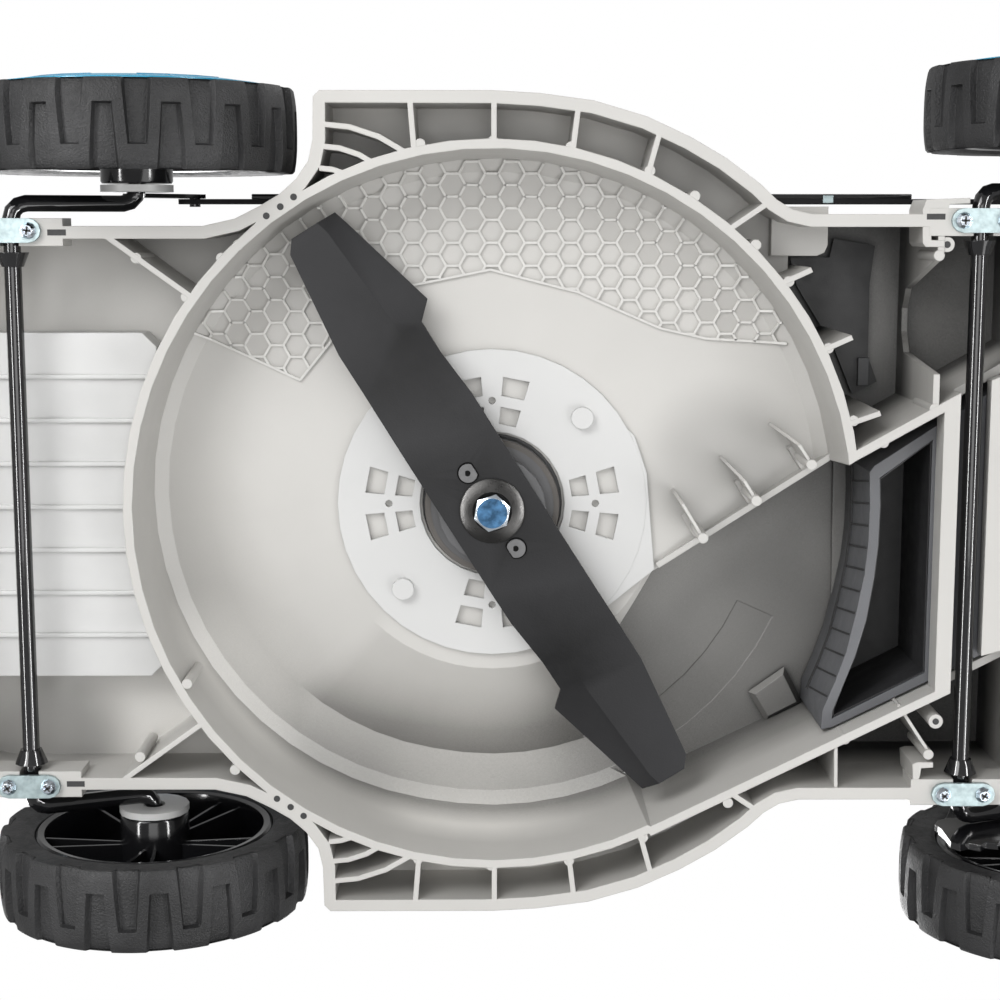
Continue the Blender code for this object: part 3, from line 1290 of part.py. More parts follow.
def handle_bolts():
    dark = ((0.02, 0.02, 0.022), 0.5)
    for name, side in (("left", 1), ("right", -1)):
        bolt = (PIVOT_X, side * (EAR_Y - EAR_THICK / 2 - 0.001), PIVOT_Z)
        length = LOWER_Y + TUBE_RADIUS - EAR_Y + EAR_THICK / 2 + 0.0015
        pin = part("pivot_bolt_" + name, disc(bolt, (0, side, 0), BOLT_RADIUS, length, BOLT_SIDES),
                   ((0.62, 0.66, 0.70), 0.3, 1.0), (PIVOT_X, 0.0, PIVOT_Z))
        heads = gather([
            disc((PIVOT_X, side * (EAR_Y - EAR_THICK / 2 - CLEARANCE), PIVOT_Z), (0, -side, 0), 0.0075, 0.005, 6),
            disc((PIVOT_X, side * (LOWER_Y + TUBE_RADIUS + CLEARANCE), PIVOT_Z), (0, side, 0), 0.0085, 0.004, 16),
        ])
        add(pin, "add_heads_" + name, heads)
        start = (FOLD_X, side * (LOWER_Y - TUBE_RADIUS - 0.0025), FOLD_Z)
        span = UPPER_Y - LOWER_Y + 2 * TUBE_RADIUS + 0.006
        knob = part("fold_knob_" + name, disc(start, (0, side, 0), BOLT_RADIUS, span, BOLT_SIDES), dark, (FOLD_X, 0.0, FOLD_Z))
        ends = gather([
            disc((FOLD_X, side * (LOWER_Y - TUBE_RADIUS - CLEARANCE), FOLD_Z), (0, -side, 0), 0.009, 0.005, 8),
            disc((FOLD_X, side * (UPPER_Y + TUBE_RADIUS + CLEARANCE), FOLD_Z), (0, side, 0), 0.021, 0.016, 10, 0.018),
        ])
        add(knob, "add_knob_" + name, ends)


def controls():
    """Switch box on the right leg, lock button, and the bail that starts the motor."""
    slope = upper_slope()
    middle = Vector((FOLD_X, -UPPER_Y, FOLD_Z)) + slope * BOX_ALONG
    dark = ((0.025, 0.025, 0.027), 0.5)
    body = box((-BOX_HALF_LENGTH, -BOX_HALF, -BOX_UNDER), (BOX_HALF_LENGTH, BOX_HALF, BOX_OVER))
    frame = Matrix.Translation(middle) @ tilt_matrix(slope)
    bmesh.ops.transform(body, matrix=frame, verts=body.verts)
    case = part("switch_box", body, dark, tuple(middle))
    line = [Vector(middle) - slope * 0.08, Vector(middle) + slope * 0.08]
    cut(case, "cut_box_tube", tube_mesh(line, TUBE_RADIUS + CLEARANCE, TUBE_SIDES))
    bore_start = (BAIL_PIVOT * slope.x + FOLD_X, BAIL_RIGHT - RUNNING_GAP, BAIL_PIVOT * slope.z + FOLD_Z)
    cut(case, "cut_bail_bore", disc(bore_start, (0, 1, 0), BAIL_ROD + CLEARANCE, 0.03, 12))
    well = disc((-BUTTON_BACK, 0.0, WELL_BOTTOM), (0, 0, 1), BUTTON_RADIUS + CLEARANCE, 0.03, 16)
    bmesh.ops.transform(well, matrix=frame, verts=well.verts)
    cut(case, "cut_button_well", well)
    button = disc((-BUTTON_BACK, 0.0, BUTTON_BOTTOM), (0, 0, 1), BUTTON_RADIUS, BUTTON_TALL, 16)
    bmesh.ops.transform(button, matrix=frame, verts=button.verts)
    part("lock_button", button, ((0.65, 0.02, 0.015), 0.4), tuple(middle))
    bail(dark)


def tilt_matrix(slope):
    """Turns X to run along the handle leg."""
    across = Vector((0.0, 1.0, 0.0))
    normal = slope.cross(across).normalized()
    if normal.z < 0:
        normal = -normal
        across = -across
    rows = Matrix((slope, across, normal)).transposed()
    return rows.to_4x4()


def bail(dark):
    slope = upper_slope()
    pivot = Vector((FOLD_X, 0.0, FOLD_Z)) + slope * BAIL_PIVOT
    ahead = Vector(BAIL_RISE)
    corners = [(pivot.x, BAIL_RIGHT, pivot.z), (pivot.x, BAIL_RIGHT + 0.018, pivot.z),
               (pivot.x + ahead.x, BAIL_RIGHT + 0.024, pivot.z + ahead.z),
               (pivot.x + ahead.x, BAIL_LEFT - 0.034, pivot.z + ahead.z),
               (pivot.x, BAIL_LEFT - 0.028, pivot.z), (pivot.x, BAIL_LEFT, pivot.z)]
    part("bail_lever", tube_mesh(bent_line(corners, BAIL_BEND, BEND_STEPS), BAIL_ROD, 8), dark, tuple(pivot), True)


def main():
    global ROOT, SOLIDS, CUTTERS
    clear_scene()
    SOLIDS = add_collection("cordless_lawn_mower")
    CUTTERS = add_collection("cutters")
    ROOT = bpy.data.objects.new("mower_origin", None)
    ROOT.location = (ORIGIN_SHIFT, 0.0, 0.0)
    CUTTERS.objects.link(ROOT)
    deck_housing()
    front_box()
    motor_plate()
    motor_body()
    blade_adapter()
    blade()
    blade_washer()
    blade_bolt()
    wheels()
    axle("front_axle", FRONT_ROD_X, FRONT_ARM_Y, FRONT_TYRE_Y)
    axle("rear_axle", REAR_ROD_X, REAR_ARM_Y, REAR_TYRE_Y)
    link_rod()
    height_lever()
    notch_plate()
    clamps_and_screws()
    mulch_plug()
    rear_flap()
    top_cover()
    battery_bay()
    battery_pack()
    safety_key()
    handle()
    controls()


main()
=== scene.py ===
"""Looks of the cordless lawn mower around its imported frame. Metres, X forward, Y left, Z up."""
import math

import bmesh
import bpy
from mathutils import Matrix, Vector

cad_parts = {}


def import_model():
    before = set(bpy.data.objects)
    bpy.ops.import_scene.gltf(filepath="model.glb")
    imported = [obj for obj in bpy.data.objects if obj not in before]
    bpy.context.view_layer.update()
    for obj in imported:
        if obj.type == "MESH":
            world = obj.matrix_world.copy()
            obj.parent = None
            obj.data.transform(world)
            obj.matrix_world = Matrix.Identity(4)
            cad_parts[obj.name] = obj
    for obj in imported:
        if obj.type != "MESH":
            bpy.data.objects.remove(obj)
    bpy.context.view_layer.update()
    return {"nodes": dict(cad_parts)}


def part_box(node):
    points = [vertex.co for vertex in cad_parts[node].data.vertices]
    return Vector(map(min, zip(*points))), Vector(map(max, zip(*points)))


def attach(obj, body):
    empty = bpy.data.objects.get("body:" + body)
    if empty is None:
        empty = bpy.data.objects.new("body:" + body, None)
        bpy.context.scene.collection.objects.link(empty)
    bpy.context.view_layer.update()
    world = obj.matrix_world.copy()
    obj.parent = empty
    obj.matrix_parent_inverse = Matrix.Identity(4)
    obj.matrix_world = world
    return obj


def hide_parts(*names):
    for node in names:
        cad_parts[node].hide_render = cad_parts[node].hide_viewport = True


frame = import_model()
NODES = frame["nodes"]

# The blade axis, which most places below are measured from
blade_low, blade_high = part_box("blade_bolt")
SHIFT = (blade_low[0] + blade_high[0]) / 2
WHEELS = ("front_left", "front_right", "rear_left", "rear_right")
MM = 0.001


# Materials

def new_material(name):
    mat = bpy.data.materials.new(name)
    mat.use_nodes = True
    tree = mat.node_tree
    return mat, tree, tree.nodes["Principled BSDF"]


def noise_node(tree, scale, detail=2.0, rough=0.5):
    coords = tree.nodes.new("ShaderNodeTexCoord")
    node = tree.nodes.new("ShaderNodeTexNoise")
    node.inputs["Scale"].default_value = scale
    node.inputs["Detail"].default_value = detail
    node.inputs["Roughness"].default_value = rough
    tree.links.new(coords.outputs["Object"], node.inputs["Vector"])
    return node


def spread(tree, source, low, high):
    """Maps a 0.3 to 0.7 noise value to a wanted range."""
    node = tree.nodes.new("ShaderNodeMapRange")
    node.inputs["From Min"].default_value = 0.3
    node.inputs["From Max"].default_value = 0.7
    node.inputs["To Min"].default_value = low
    node.inputs["To Max"].default_value = high
    tree.links.new(source, node.inputs["Value"])
    return node.outputs["Result"]


def ramp_colour(tree, factor, colour_a, colour_b):
    """Goes from one colour to the other over the middle of a noise."""
    node = tree.nodes.new("ShaderNodeValToRGB")
    node.color_ramp.elements[0].position = 0.35
    node.color_ramp.elements[1].position = 0.65
    node.color_ramp.elements[0].color = (*colour_a, 1.0)
    node.color_ramp.elements[1].color = (*colour_b, 1.0)
    tree.links.new(factor, node.inputs["Fac"])
    return node.outputs["Color"]


def scaled(colour, factor):
    return tuple(min(1.0, c * factor) for c in colour)


# Painted shade: hollows darken in full above the second height and by a small share below the first
HOLLOW_SHADE_FROM = 0.110
HOLLOW_SHADE_FULL = 0.140
HOLLOW_SHADE_NEAR_RIM = 0.25
# Walls count as close within this distance
HOLLOW_SHADE_REACH = 0.10
# Soft spots of painted light and shade come in between these heights and are even within this share of
# their radius
PAINTED_PATCH_FROM = 0.085
PAINTED_PATCH_FULL = 0.115
PAINTED_PATCH_CORE = 0.4
EDGE_BLEND = 0.12


def shade_in_hollows(tree, shade, amount):
    """Painted shade: darkens the colour where walls stand close around, a little near the rim and much deep
    inside.
    """
    sky = tree.nodes.new("ShaderNodeAmbientOcclusion")
    sky.samples = 6
    sky.inputs["Distance"].default_value = HOLLOW_SHADE_REACH
    shut = tree.nodes.new("ShaderNodeMapRange")
    shut.inputs["From Min"].default_value = 0.9
    shut.inputs["From Max"].default_value = 0.1
    tree.links.new(sky.outputs["AO"], shut.inputs["Value"])
    place = tree.nodes.new("ShaderNodeNewGeometry")
    parts = tree.nodes.new("ShaderNodeSeparateXYZ")
    tree.links.new(place.outputs["Position"], parts.inputs["Vector"])
    deep = tree.nodes.new("ShaderNodeMapRange")
    deep.inputs["From Min"].default_value = HOLLOW_SHADE_FROM
    deep.inputs["From Max"].default_value = HOLLOW_SHADE_FULL
    deep.inputs["To Min"].default_value = HOLLOW_SHADE_NEAR_RIM * amount
    deep.inputs["To Max"].default_value = amount
    tree.links.new(parts.outputs["Z"], deep.inputs["Value"])
    loss = tree.nodes.new("ShaderNodeMath")
    loss.operation = "MULTIPLY"
    tree.links.new(shut.outputs["Result"], loss.inputs[0])
    tree.links.new(deep.outputs["Result"], loss.inputs[1])
    unshaded = tree.nodes.new("ShaderNodeMath")
    unshaded.operation = "SUBTRACT"
    unshaded.inputs[0].default_value = 1.0
    tree.links.new(loss.outputs[0], unshaded.inputs[1])
    mix = tree.nodes.new("ShaderNodeMix")
    mix.data_type = "RGBA"
    mix.blend_type = "MULTIPLY"
    mix.inputs["Factor"].default_value = 1.0
    tree.links.new(shade, mix.inputs["A"])
    tree.links.new(unshaded.outputs[0], mix.inputs["B"])
    return mix.outputs["Result"]


def light_and_shade_patches(tree, shade, spots):
    """Painted light and shade: soft lighter and darker spots deep inside the deck."""
    place = tree.nodes.new("ShaderNodeNewGeometry")
    parts = tree.nodes.new("ShaderNodeSeparateXYZ")
    tree.links.new(place.outputs["Position"], parts.inputs["Vector"])
    flat = tree.nodes.new("ShaderNodeCombineXYZ")
    tree.links.new(parts.outputs["X"], flat.inputs["X"])
    tree.links.new(parts.outputs["Y"], flat.inputs["Y"])
    deep = tree.nodes.new("ShaderNodeMapRange")
    deep.inputs["From Min"].default_value = PAINTED_PATCH_FROM
    deep.inputs["From Max"].default_value = PAINTED_PATCH_FULL
    tree.links.new(parts.outputs["Z"], deep.inputs["Value"])
    for x, y, radius, factor in spots:
        gap = tree.nodes.new("ShaderNodeVectorMath")
        gap.operation = "DISTANCE"
        gap.inputs[1].default_value = (x * MM + SHIFT, y * MM, 0.0)
        tree.links.new(flat.outputs["Vector"], gap.inputs[0])
        near = tree.nodes.new("ShaderNodeMapRange")
        near.interpolation_type = "SMOOTHSTEP"
        near.inputs["From Min"].default_value = radius * MM
        near.inputs["From Max"].default_value = radius * MM * PAINTED_PATCH_CORE
        tree.links.new(gap.outputs["Value"], near.inputs["Value"])
        share = tree.nodes.new("ShaderNodeMath")
        share.operation = "MULTIPLY"
        tree.links.new(near.outputs["Result"], share.inputs[0])
        tree.links.new(deep.outputs["Result"], share.inputs[1])
        mix = tree.nodes.new("ShaderNodeMix")
        mix.data_type = "RGBA"
        mix.blend_type = "MULTIPLY"
        mix.clamp_result = False
        tree.links.new(share.outputs[0], mix.inputs["Factor"])
        tree.links.new(shade, mix.inputs["A"])
        mix.inputs["B"].default_value = (factor, factor, factor, 1.0)
        shade = mix.outputs["Result"]
    return shade


def surface(name, colour, rough, metal=0.0, vary=0.04, cloud=12.0, grain=1500.0, bump=0.15, depth=0.0002,
            rough_vary=0.06, edge=0.0, coat=0.0, specular=0.5, anisotropy=0.0, hollow_shade=0.0, spots=()):
    """Moulded, painted or rubbed surface: clouded colour, fine grain, uneven gloss, softened edges, and
    where asked painted shade in hollows and soft spots of painted light and shade.
    """
    mat, tree, shader = new_material(name)
    clouds = noise_node(tree, cloud, 3.0)
    shade = ramp_colour(tree, clouds.outputs["Fac"], scaled(colour, 1.0 - vary), scaled(colour, 1.0 + vary))
    # Painted shade in the hollows, then soft spots of painted light and shade
    if hollow_shade:
        shade = shade_in_hollows(tree, shade, hollow_shade)
    if spots:
        shade = light_and_shade_patches(tree, shade, spots)
    tree.links.new(shade, shader.inputs["Base Color"])
    smears = noise_node(tree, cloud * 6.0, 4.0, 0.6)
    low = max(0.02, rough - rough_vary)
    high = min(1.0, rough + rough_vary)
    tree.links.new(spread(tree, smears.outputs["Fac"], low, high), shader.inputs["Roughness"])
    shader.inputs["Metallic"].default_value = metal
    shader.inputs["Specular IOR Level"].default_value = specular
    shader.inputs["Coat Weight"].default_value = coat
    shader.inputs["Anisotropic"].default_value = anisotropy
    skin = tree.nodes.new("ShaderNodeBump")
    skin.inputs["Strength"].default_value = bump
    skin.inputs["Distance"].default_value = depth
    fine = noise_node(tree, grain, 2.0)
    tree.links.new(fine.outputs["Fac"], skin.inputs["Height"])
    if edge:
        soft = tree.nodes.new("ShaderNodeBevel")
        soft.samples = 4
        soft.inputs["Radius"].default_value = edge
        tree.links.new(soft.outputs["Normal"], skin.inputs["Normal"])
    tree.links.new(skin.outputs["Normal"], shader.inputs["Normal"])
    return mat


def lighter_edges(mat, colour, amount=0.55):
    """Blends the colour towards the given one where the mesh turns sharply outwards."""
    tree = mat.node_tree
    shader = tree.nodes["Principled BSDF"]
    link = shader.inputs["Base Color"].links[0]
    base = link.from_socket
    place = tree.nodes.new("ShaderNodeNewGeometry")
    mask = tree.nodes.new("ShaderNodeMapRange")
    mask.inputs["From Min"].default_value = amount
    mask.inputs["From Max"].default_value = amount + EDGE_BLEND
    tree.links.new(place.outputs["Pointiness"], mask.inputs["Value"])
    mix = tree.nodes.new("ShaderNodeMix")
    mix.data_type = "RGBA"
    tree.links.new(mask.outputs["Result"], mix.inputs["Factor"])
    tree.links.new(base, mix.inputs["A"])
    mix.inputs["B"].default_value = (*colour, 1.0)
    tree.links.new(mix.outputs["Result"], shader.inputs["Base Color"])


# Each spot of painted light (factor above one) or painted shade (factor below one) has its x, y and radius
# in millimetres from the blade axis, and the factor on the colour
DECK_LIGHT_AND_SHADE = [(-160, -95, 95, 0.55), (-135, 20, 60, 0.62), (264, -150, 60, 0.5), (175, -130, 80, 1.35),
                (8, -195, 80, 1.35), (-60, 246, 56, 1.6), (-5, 258, 56, 1.6), (45, 260, 56, 1.6),
                (95, 245, 56, 1.6), (25, -258, 90, 1.4), (-60, -250, 60, 1.4)]
# Several plastics below get painted shade in their hollows, and the deck gets soft spots of painted light
# and shade
DECK = surface("deck_plastic", (0.60, 0.588, 0.562), 0.42, vary=0.03, cloud=9.0, grain=2200.0, bump=0.10,
               edge=0.0009, hollow_shade=1.0, spots=DECK_LIGHT_AND_SHADE)
# A lighter copy of the deck plastic for painted light on the comb's ribs, and a darker one for painted
# shade on its cell floors
COMB_LIT = surface("comb_ribs_lit", (0.66, 0.65, 0.625), 0.40, vary=0.03, cloud=30.0, grain=2200.0, bump=0.08,
               edge=0.0004)
CELL_SHADED = surface("comb_floor_shaded", (0.46, 0.449, 0.427), 0.45, vary=0.04, cloud=14.0, grain=2200.0, bump=0.12)
PALE = surface("pale_plastic", (0.66, 0.66, 0.652), 0.38, vary=0.02, cloud=14.0, grain=2200.0, bump=0.08,
               edge=0.0007, hollow_shade=0.5)
BOX = surface("box_plastic", (0.70, 0.70, 0.692), 0.45, vary=0.04, cloud=22.0, grain=1500.0, bump=0.12,
              edge=0.001, hollow_shade=0.6)
PLUG = surface("plug_plastic", (0.125, 0.128, 0.138), 0.42, vary=0.10, cloud=14.0, grain=1400.0, bump=0.3,
               edge=0.0008, hollow_shade=0.9)
BLACK = surface("black_plastic", (0.020, 0.020, 0.022), 0.5, vary=0.15, cloud=20.0, grain=1500.0, bump=0.35,
                edge=0.0008)
# A near-black sheet for painted shade deep inside the bay and the plug
SHADE_SHEET = surface("painted_shade_sheet", (0.030, 0.030, 0.032), 0.5, vary=0.2, cloud=20.0, grain=1400.0, bump=0.25,
                 hollow_shade=0.9)
GAP_SHADE = surface("painted_shade_gap", (0.003, 0.003, 0.003), 0.8, vary=0.3, cloud=60.0, grain=1500.0, bump=0.2,
               specular=0.1)
# A darker copy of the cap blue for painted shade in the hub caps' recesses
CAP_RECESS_SHADED = surface("cap_recess_shaded", (0.01, 0.22, 0.40), 0.38, vary=0.06, cloud=20.0, grain=1300.0, bump=0.2,
                   edge=0.0006)
# A near-black for painted shade in cross recesses, holes, slots and rib lines
SHADE = surface("dark_recess", (0.030, 0.030, 0.031), 0.7, vary=0.2, cloud=40.0, grain=1500.0, bump=0.2)
RIM = surface("rim_plastic", (0.008, 0.008, 0.009), 0.14, vary=0.15, cloud=18.0, grain=700.0, bump=0.05,
              edge=0.0006, specular=0.4)
CAP = surface("cap_plastic", (0.02, 0.42, 0.68), 0.28, vary=0.05, cloud=14.0, grain=1200.0, bump=0.08,
              edge=0.0006)
COVER = surface("cover_plastic", (0.0, 0.075, 0.20), 0.22, vary=0.06, cloud=8.0, grain=1300.0, bump=0.05,
                edge=0.001)
SPACER = surface("spacer_plastic", (0.68, 0.68, 0.67), 0.4, vary=0.04, cloud=30.0, grain=1600.0, bump=0.1,
                 edge=0.0004)
RED = surface("red_plastic", (0.60, 0.018, 0.012), 0.32, vary=0.08, cloud=40.0, grain=1600.0, bump=0.1,
              edge=0.0005)
MOTOR = surface("motor_paint", (0.085, 0.085, 0.088), 0.42, vary=0.12, cloud=25.0, grain=1300.0, bump=0.3,
                edge=0.0006)
MOTOR_RING = surface("motor_ring", (0.085, 0.076, 0.068), 0.45, vary=0.12, cloud=40.0, grain=1300.0,
                     bump=0.2)
BLADE = surface("blade_coat", (0.0075, 0.0075, 0.0080), 0.46, vary=0.25, cloud=30.0, grain=900.0, bump=0.25,
                depth=0.0003, rough_vary=0.07, edge=0.0006, specular=0.22)
PIN = surface("pin_metal", (0.13, 0.13, 0.132), 0.45, metal=0.3, vary=0.12, cloud=200.0, grain=900.0,
              bump=0.2, edge=0.0003)
STEEL = surface("rod_enamel", (0.008, 0.008, 0.009), 0.10, vary=0.2, cloud=25.0, grain=600.0, bump=0.05,
                rough_vary=0.04, edge=0.0005, coat=0.3)
LINK = surface("link_enamel", (0.008, 0.008, 0.009), 0.55, vary=0.2, cloud=25.0, grain=600.0, bump=0.1,
               specular=0.15)
TUBE = surface("handle_enamel", (0.014, 0.014, 0.015), 0.24, vary=0.2, cloud=18.0, grain=1000.0, bump=0.02,
               rough_vary=0.05, coat=0.2)
ZINC = surface("zinc_plating", (0.34, 0.41, 0.42), 0.42, metal=1.0, vary=0.16, cloud=260.0, grain=600.0,
               bump=0.30, rough_vary=0.12, edge=0.0004)
SCREW = surface("blue_screw_plating", (0.66, 0.72, 0.80), 0.22, metal=1.0, vary=0.2, cloud=240.0,
                grain=600.0, bump=0.3, rough_vary=0.1, edge=0.0003)
BOLT = surface("blue_zinc_plating", (0.045, 0.105, 0.19), 0.40, metal=1.0, vary=0.45, cloud=210.0,
               grain=600.0, bump=0.4, rough_vary=0.12)
BRIGHT = surface("bare_zinc", (0.62, 0.67, 0.72), 0.16, metal=1.0, vary=0.1, cloud=200.0, grain=600.0,
                 bump=0.15, rough_vary=0.06, edge=0.0003)
RUBBER = surface("tyre_rubber", (0.026, 0.026, 0.027), 0.55, vary=0.3, cloud=30.0, grain=900.0, bump=0.9,
                 depth=0.0006, rough_vary=0.08, edge=0.0006, specular=0.3)
lighter_edges(RUBBER, (0.09, 0.09, 0.09), 0.56)
lighter_edges(BLADE, (0.045, 0.045, 0.048), 0.55)


# The foam covers this upper share of the handle's height and this share each side of its middle
GRIP_FROM = 0.925
GRIP_HALF = 0.40


def foam_grip():
    """Tube enamel that turns to soft foam round the middle of the grip bar."""
    mat = surface("grip_foam_tube", (0.014, 0.014, 0.015), 0.24, vary=0.2, cloud=18.0, grain=1000.0,
                  bump=0.02, coat=0.1)
    tree = mat.node_tree
    shader = tree.nodes["Principled BSDF"]
    coords = tree.nodes.new("ShaderNodeTexCoord")
    parts = tree.nodes.new("ShaderNodeSeparateXYZ")
    tree.links.new(coords.outputs["Generated"], parts.inputs["Vector"])
    top = tree.nodes.new("ShaderNodeMath")
    top.operation = "GREATER_THAN"
    top.inputs[1].default_value = GRIP_FROM
    tree.links.new(parts.outputs["Z"], top.inputs[0])
    middle = tree.nodes.new("ShaderNodeMath")
    middle.operation = "COMPARE"
    middle.inputs[1].default_value = 0.5
    middle.inputs[2].default_value = GRIP_HALF
    tree.links.new(parts.outputs["Y"], middle.inputs[0])
    mask = tree.nodes.new("ShaderNodeMath")
    mask.operation = "MULTIPLY"
    tree.links.new(top.outputs[0], mask.inputs[0])
    tree.links.new(middle.outputs[0], mask.inputs[1])
    for socket, foam in (("Base Color", (0.035, 0.035, 0.036, 1.0)), ("Roughness", 0.85)):
        source = shader.inputs[socket].links[0].from_socket
        mix = tree.nodes.new("ShaderNodeMix")
        mix.data_type = "RGBA" if socket == "Base Color" else "FLOAT"
        kind = "RGBA" if socket == "Base Color" else "VALUE"
        ends = [s for s in mix.inputs if s.type == kind and s.name in "AB"]
        tree.links.new(mask.outputs[0], mix.inputs["Factor"])
        tree.links.new(source, ends[0])
        ends[1].default_value = foam
        result = next(s for s in mix.outputs if s.type == kind)
        tree.links.new(result, shader.inputs[socket])
    return mat


def dished_steel():
    """Blackened steel turned on a lathe, so that its shine fans out from the middle."""
    mat = surface("washer_steel", (0.040, 0.039, 0.038), 0.30, metal=0.8, vary=0.2, cloud=60.0, grain=900.0,
                  bump=0.2, rough_vary=0.04, anisotropy=0.8)
    tree = mat.node_tree
    turned_way = tree.nodes.new("ShaderNodeTangent")
    turned_way.direction_type = "RADIAL"
    turned_way.axis = "Z"
    tree.links.new(turned_way.outputs["Tangent"], tree.nodes["Principled BSDF"].inputs["Tangent"])
    return mat


WASHER = dished_steel()
GRIP = foam_grip()


# Shared helpers

def soften(node, mat, split=32.0, bevel=0.0):
    """Gives a CAD node its material and even shading."""
    obj = NODES[node]
    obj.data.materials.clear()
    obj.data.materials.append(mat)
    if "custom_normal" in obj.data.attributes:
        obj.data.attributes.remove(obj.data.attributes["custom_normal"])
    for face in obj.data.polygons:
        face.use_smooth = True
    weld = obj.modifiers.new("join_corners", "WELD")
    weld.merge_threshold = 0.00001
    if bevel:
        step = obj.modifiers.new("soft_edges", "BEVEL")
        step.width = bevel
        step.segments = 3
        step.limit_method = "ANGLE"
        step.angle_limit = math.radians(40)
    sharp = obj.modifiers.new("sharp_edges", "EDGE_SPLIT")
    sharp.split_angle = math.radians(split)


def piece(name, bm, mat, body, smooth=True, split=35.0, bevel=0.0):
    bmesh.ops.recalc_face_normals(bm, faces=bm.faces)
    mesh = bpy.data.meshes.new(name)
    bm.to_mesh(mesh)
    bm.free()
    obj = bpy.data.objects.new(name, mesh)
    bpy.context.scene.collection.objects.link(obj)
    mesh.materials.append(mat)
    if smooth:
        mesh.shade_smooth()
        if bevel:
            step = obj.modifiers.new("soft_edges", "BEVEL")
            step.width = bevel
            step.segments = 2
            step.limit_method = "ANGLE"
            step.angle_limit = math.radians(40)
        sharp = obj.modifiers.new("sharp_edges", "EDGE_SPLIT")
        sharp.split_angle = math.radians(split)
    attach(obj, body)
    return obj


def rod(bm, start, end, radius, sides):
    start = Vector(start)
    end = Vector(end)
    axis = end - start
    turn = Vector((0.0, 0.0, 1.0)).rotation_difference(axis).to_matrix().to_4x4()
    bmesh.ops.create_cone(bm, cap_ends=True, segments=sides, radius1=radius, radius2=radius,
                          depth=axis.length, matrix=Matrix.Translation((start + end) / 2) @ turn)


def wall(bm, start, end, thick, low, high):
    """Upright bar between two plan points; low and high may be pairs, one for each end."""
    a = Vector(start)
    b = Vector(end)
    side = (b - a).normalized().orthogonal() * thick / 2
    low_a, low_b = low if isinstance(low, tuple) else (low, low)
    high_a, high_b = high if isinstance(high, tuple) else (high, high)
    rows = []
    for p, lo, hi in ((a, low_a, high_a), (b, low_b, high_b)):
        ring = [(p + side, lo), (p - side, lo), (p - side, hi), (p + side, hi)]
        rows.append([bm.verts.new((q.x, q.y, z)) for q, z in ring])
    for j in range(4):
        k = (j + 1) % 4
        bm.faces.new((rows[0][j], rows[0][k], rows[1][k], rows[1][j]))
    bm.faces.new(rows[0][::-1])
    bm.faces.new(rows[1])


def at(x, y, z):
    """A place measured in millimetres from the blade axis."""
    return (SHIFT + x * MM, y * MM, z * MM)


def plate(bm, outline, low, high):
    """A flat piece between two heights from a plan outline, in millimetres from the blade axis."""
    under = [bm.verts.new(at(x, y, low)) for x, y in outline]
    over = [bm.verts.new(at(x, y, high)) for x, y in outline]
    bm.faces.new(under[::-1])
    bm.faces.new(over)
    for j in range(len(outline)):
        k = (j + 1) % len(outline)
        bm.faces.new((under[j], under[k], over[k], over[j]))


def bar(bm, start, end, thick, low, high):
    """The same as wall, in millimetres from the blade axis."""
    a = at(*start, 0)
    b = at(*end, 0)
    wall(bm, a[:2], b[:2], thick * MM, low * MM, high * MM)


def strip(bm, points, thick, low, high):
    for a, b in zip(points, points[1:]):
        bar(bm, a, b, thick, low, high)


def lathed(bm, profile, steps):
    """A closed ring about the blade axis from (radius, height) points in millimetres."""
    rings = []
    for i in range(steps):
        angle = 2 * math.pi * i / steps
        rings.append([bm.verts.new(at(r * math.cos(angle), r * math.sin(angle), z)) for r, z in profile])
    count = len(profile)
    for here, after in zip(rings, rings[1:] + rings[:1]):
        for j in range(count):
            k = (j + 1) % count
            bm.faces.new((here[j], here[k], after[k], after[j]))


# Roof honeycomb in the chamber, with painted light on its ribs and painted shade on its cell floors

ROOF_LOW = 0.109
PLATEAU = 0.101
HEX = 0.0076
COMB_RIB = 0.0014
COMB_DEPTH = 0.0024
COMB_LIFT = 0.0006
COMB_REACH = 0.1985
CELL_SINK = 0.0003
CELL_FLAT = 0.0012
# Radii where the roof's ramp starts and ends, and where it turns down towards the ring wall
RAMP_IN = 0.100
RAMP_OUT = 0.168
TURN_IN = 0.192
TURN_WIDTH = 0.0075
TURN_DROP = 0.006
# The honeycomb ends on this line, from the front side round to the chute side
COMB_EDGE = [(174, 100), (112, 72), (90, 99), (46, 127), (1, 136), (-50, 123), (-98, 102), (-125, 96),
             (-172, 93)]
EDGE_CUTS = 6
CLIP_HALVINGS = 10
COMB_COLUMNS = range(-18, 19)
COMB_ROWS = range(2, 18)
# Rib ends that fall on the same place of this grid, in steps for each metre, belong to one rib
RIB_GRID = 5000


def roof_z(x, y):
    """Height of the chamber's roof, seen from below, at a place measured from the blade axis."""
    r = math.hypot(x, y)
    if r > TURN_IN:
        return ROOF_LOW - (r - TURN_IN) / TURN_WIDTH * TURN_DROP
    if r > RAMP_OUT:
        return ROOF_LOW
    return PLATEAU + (ROOF_LOW - PLATEAU) * (r - RAMP_IN) / (RAMP_OUT - RAMP_IN)


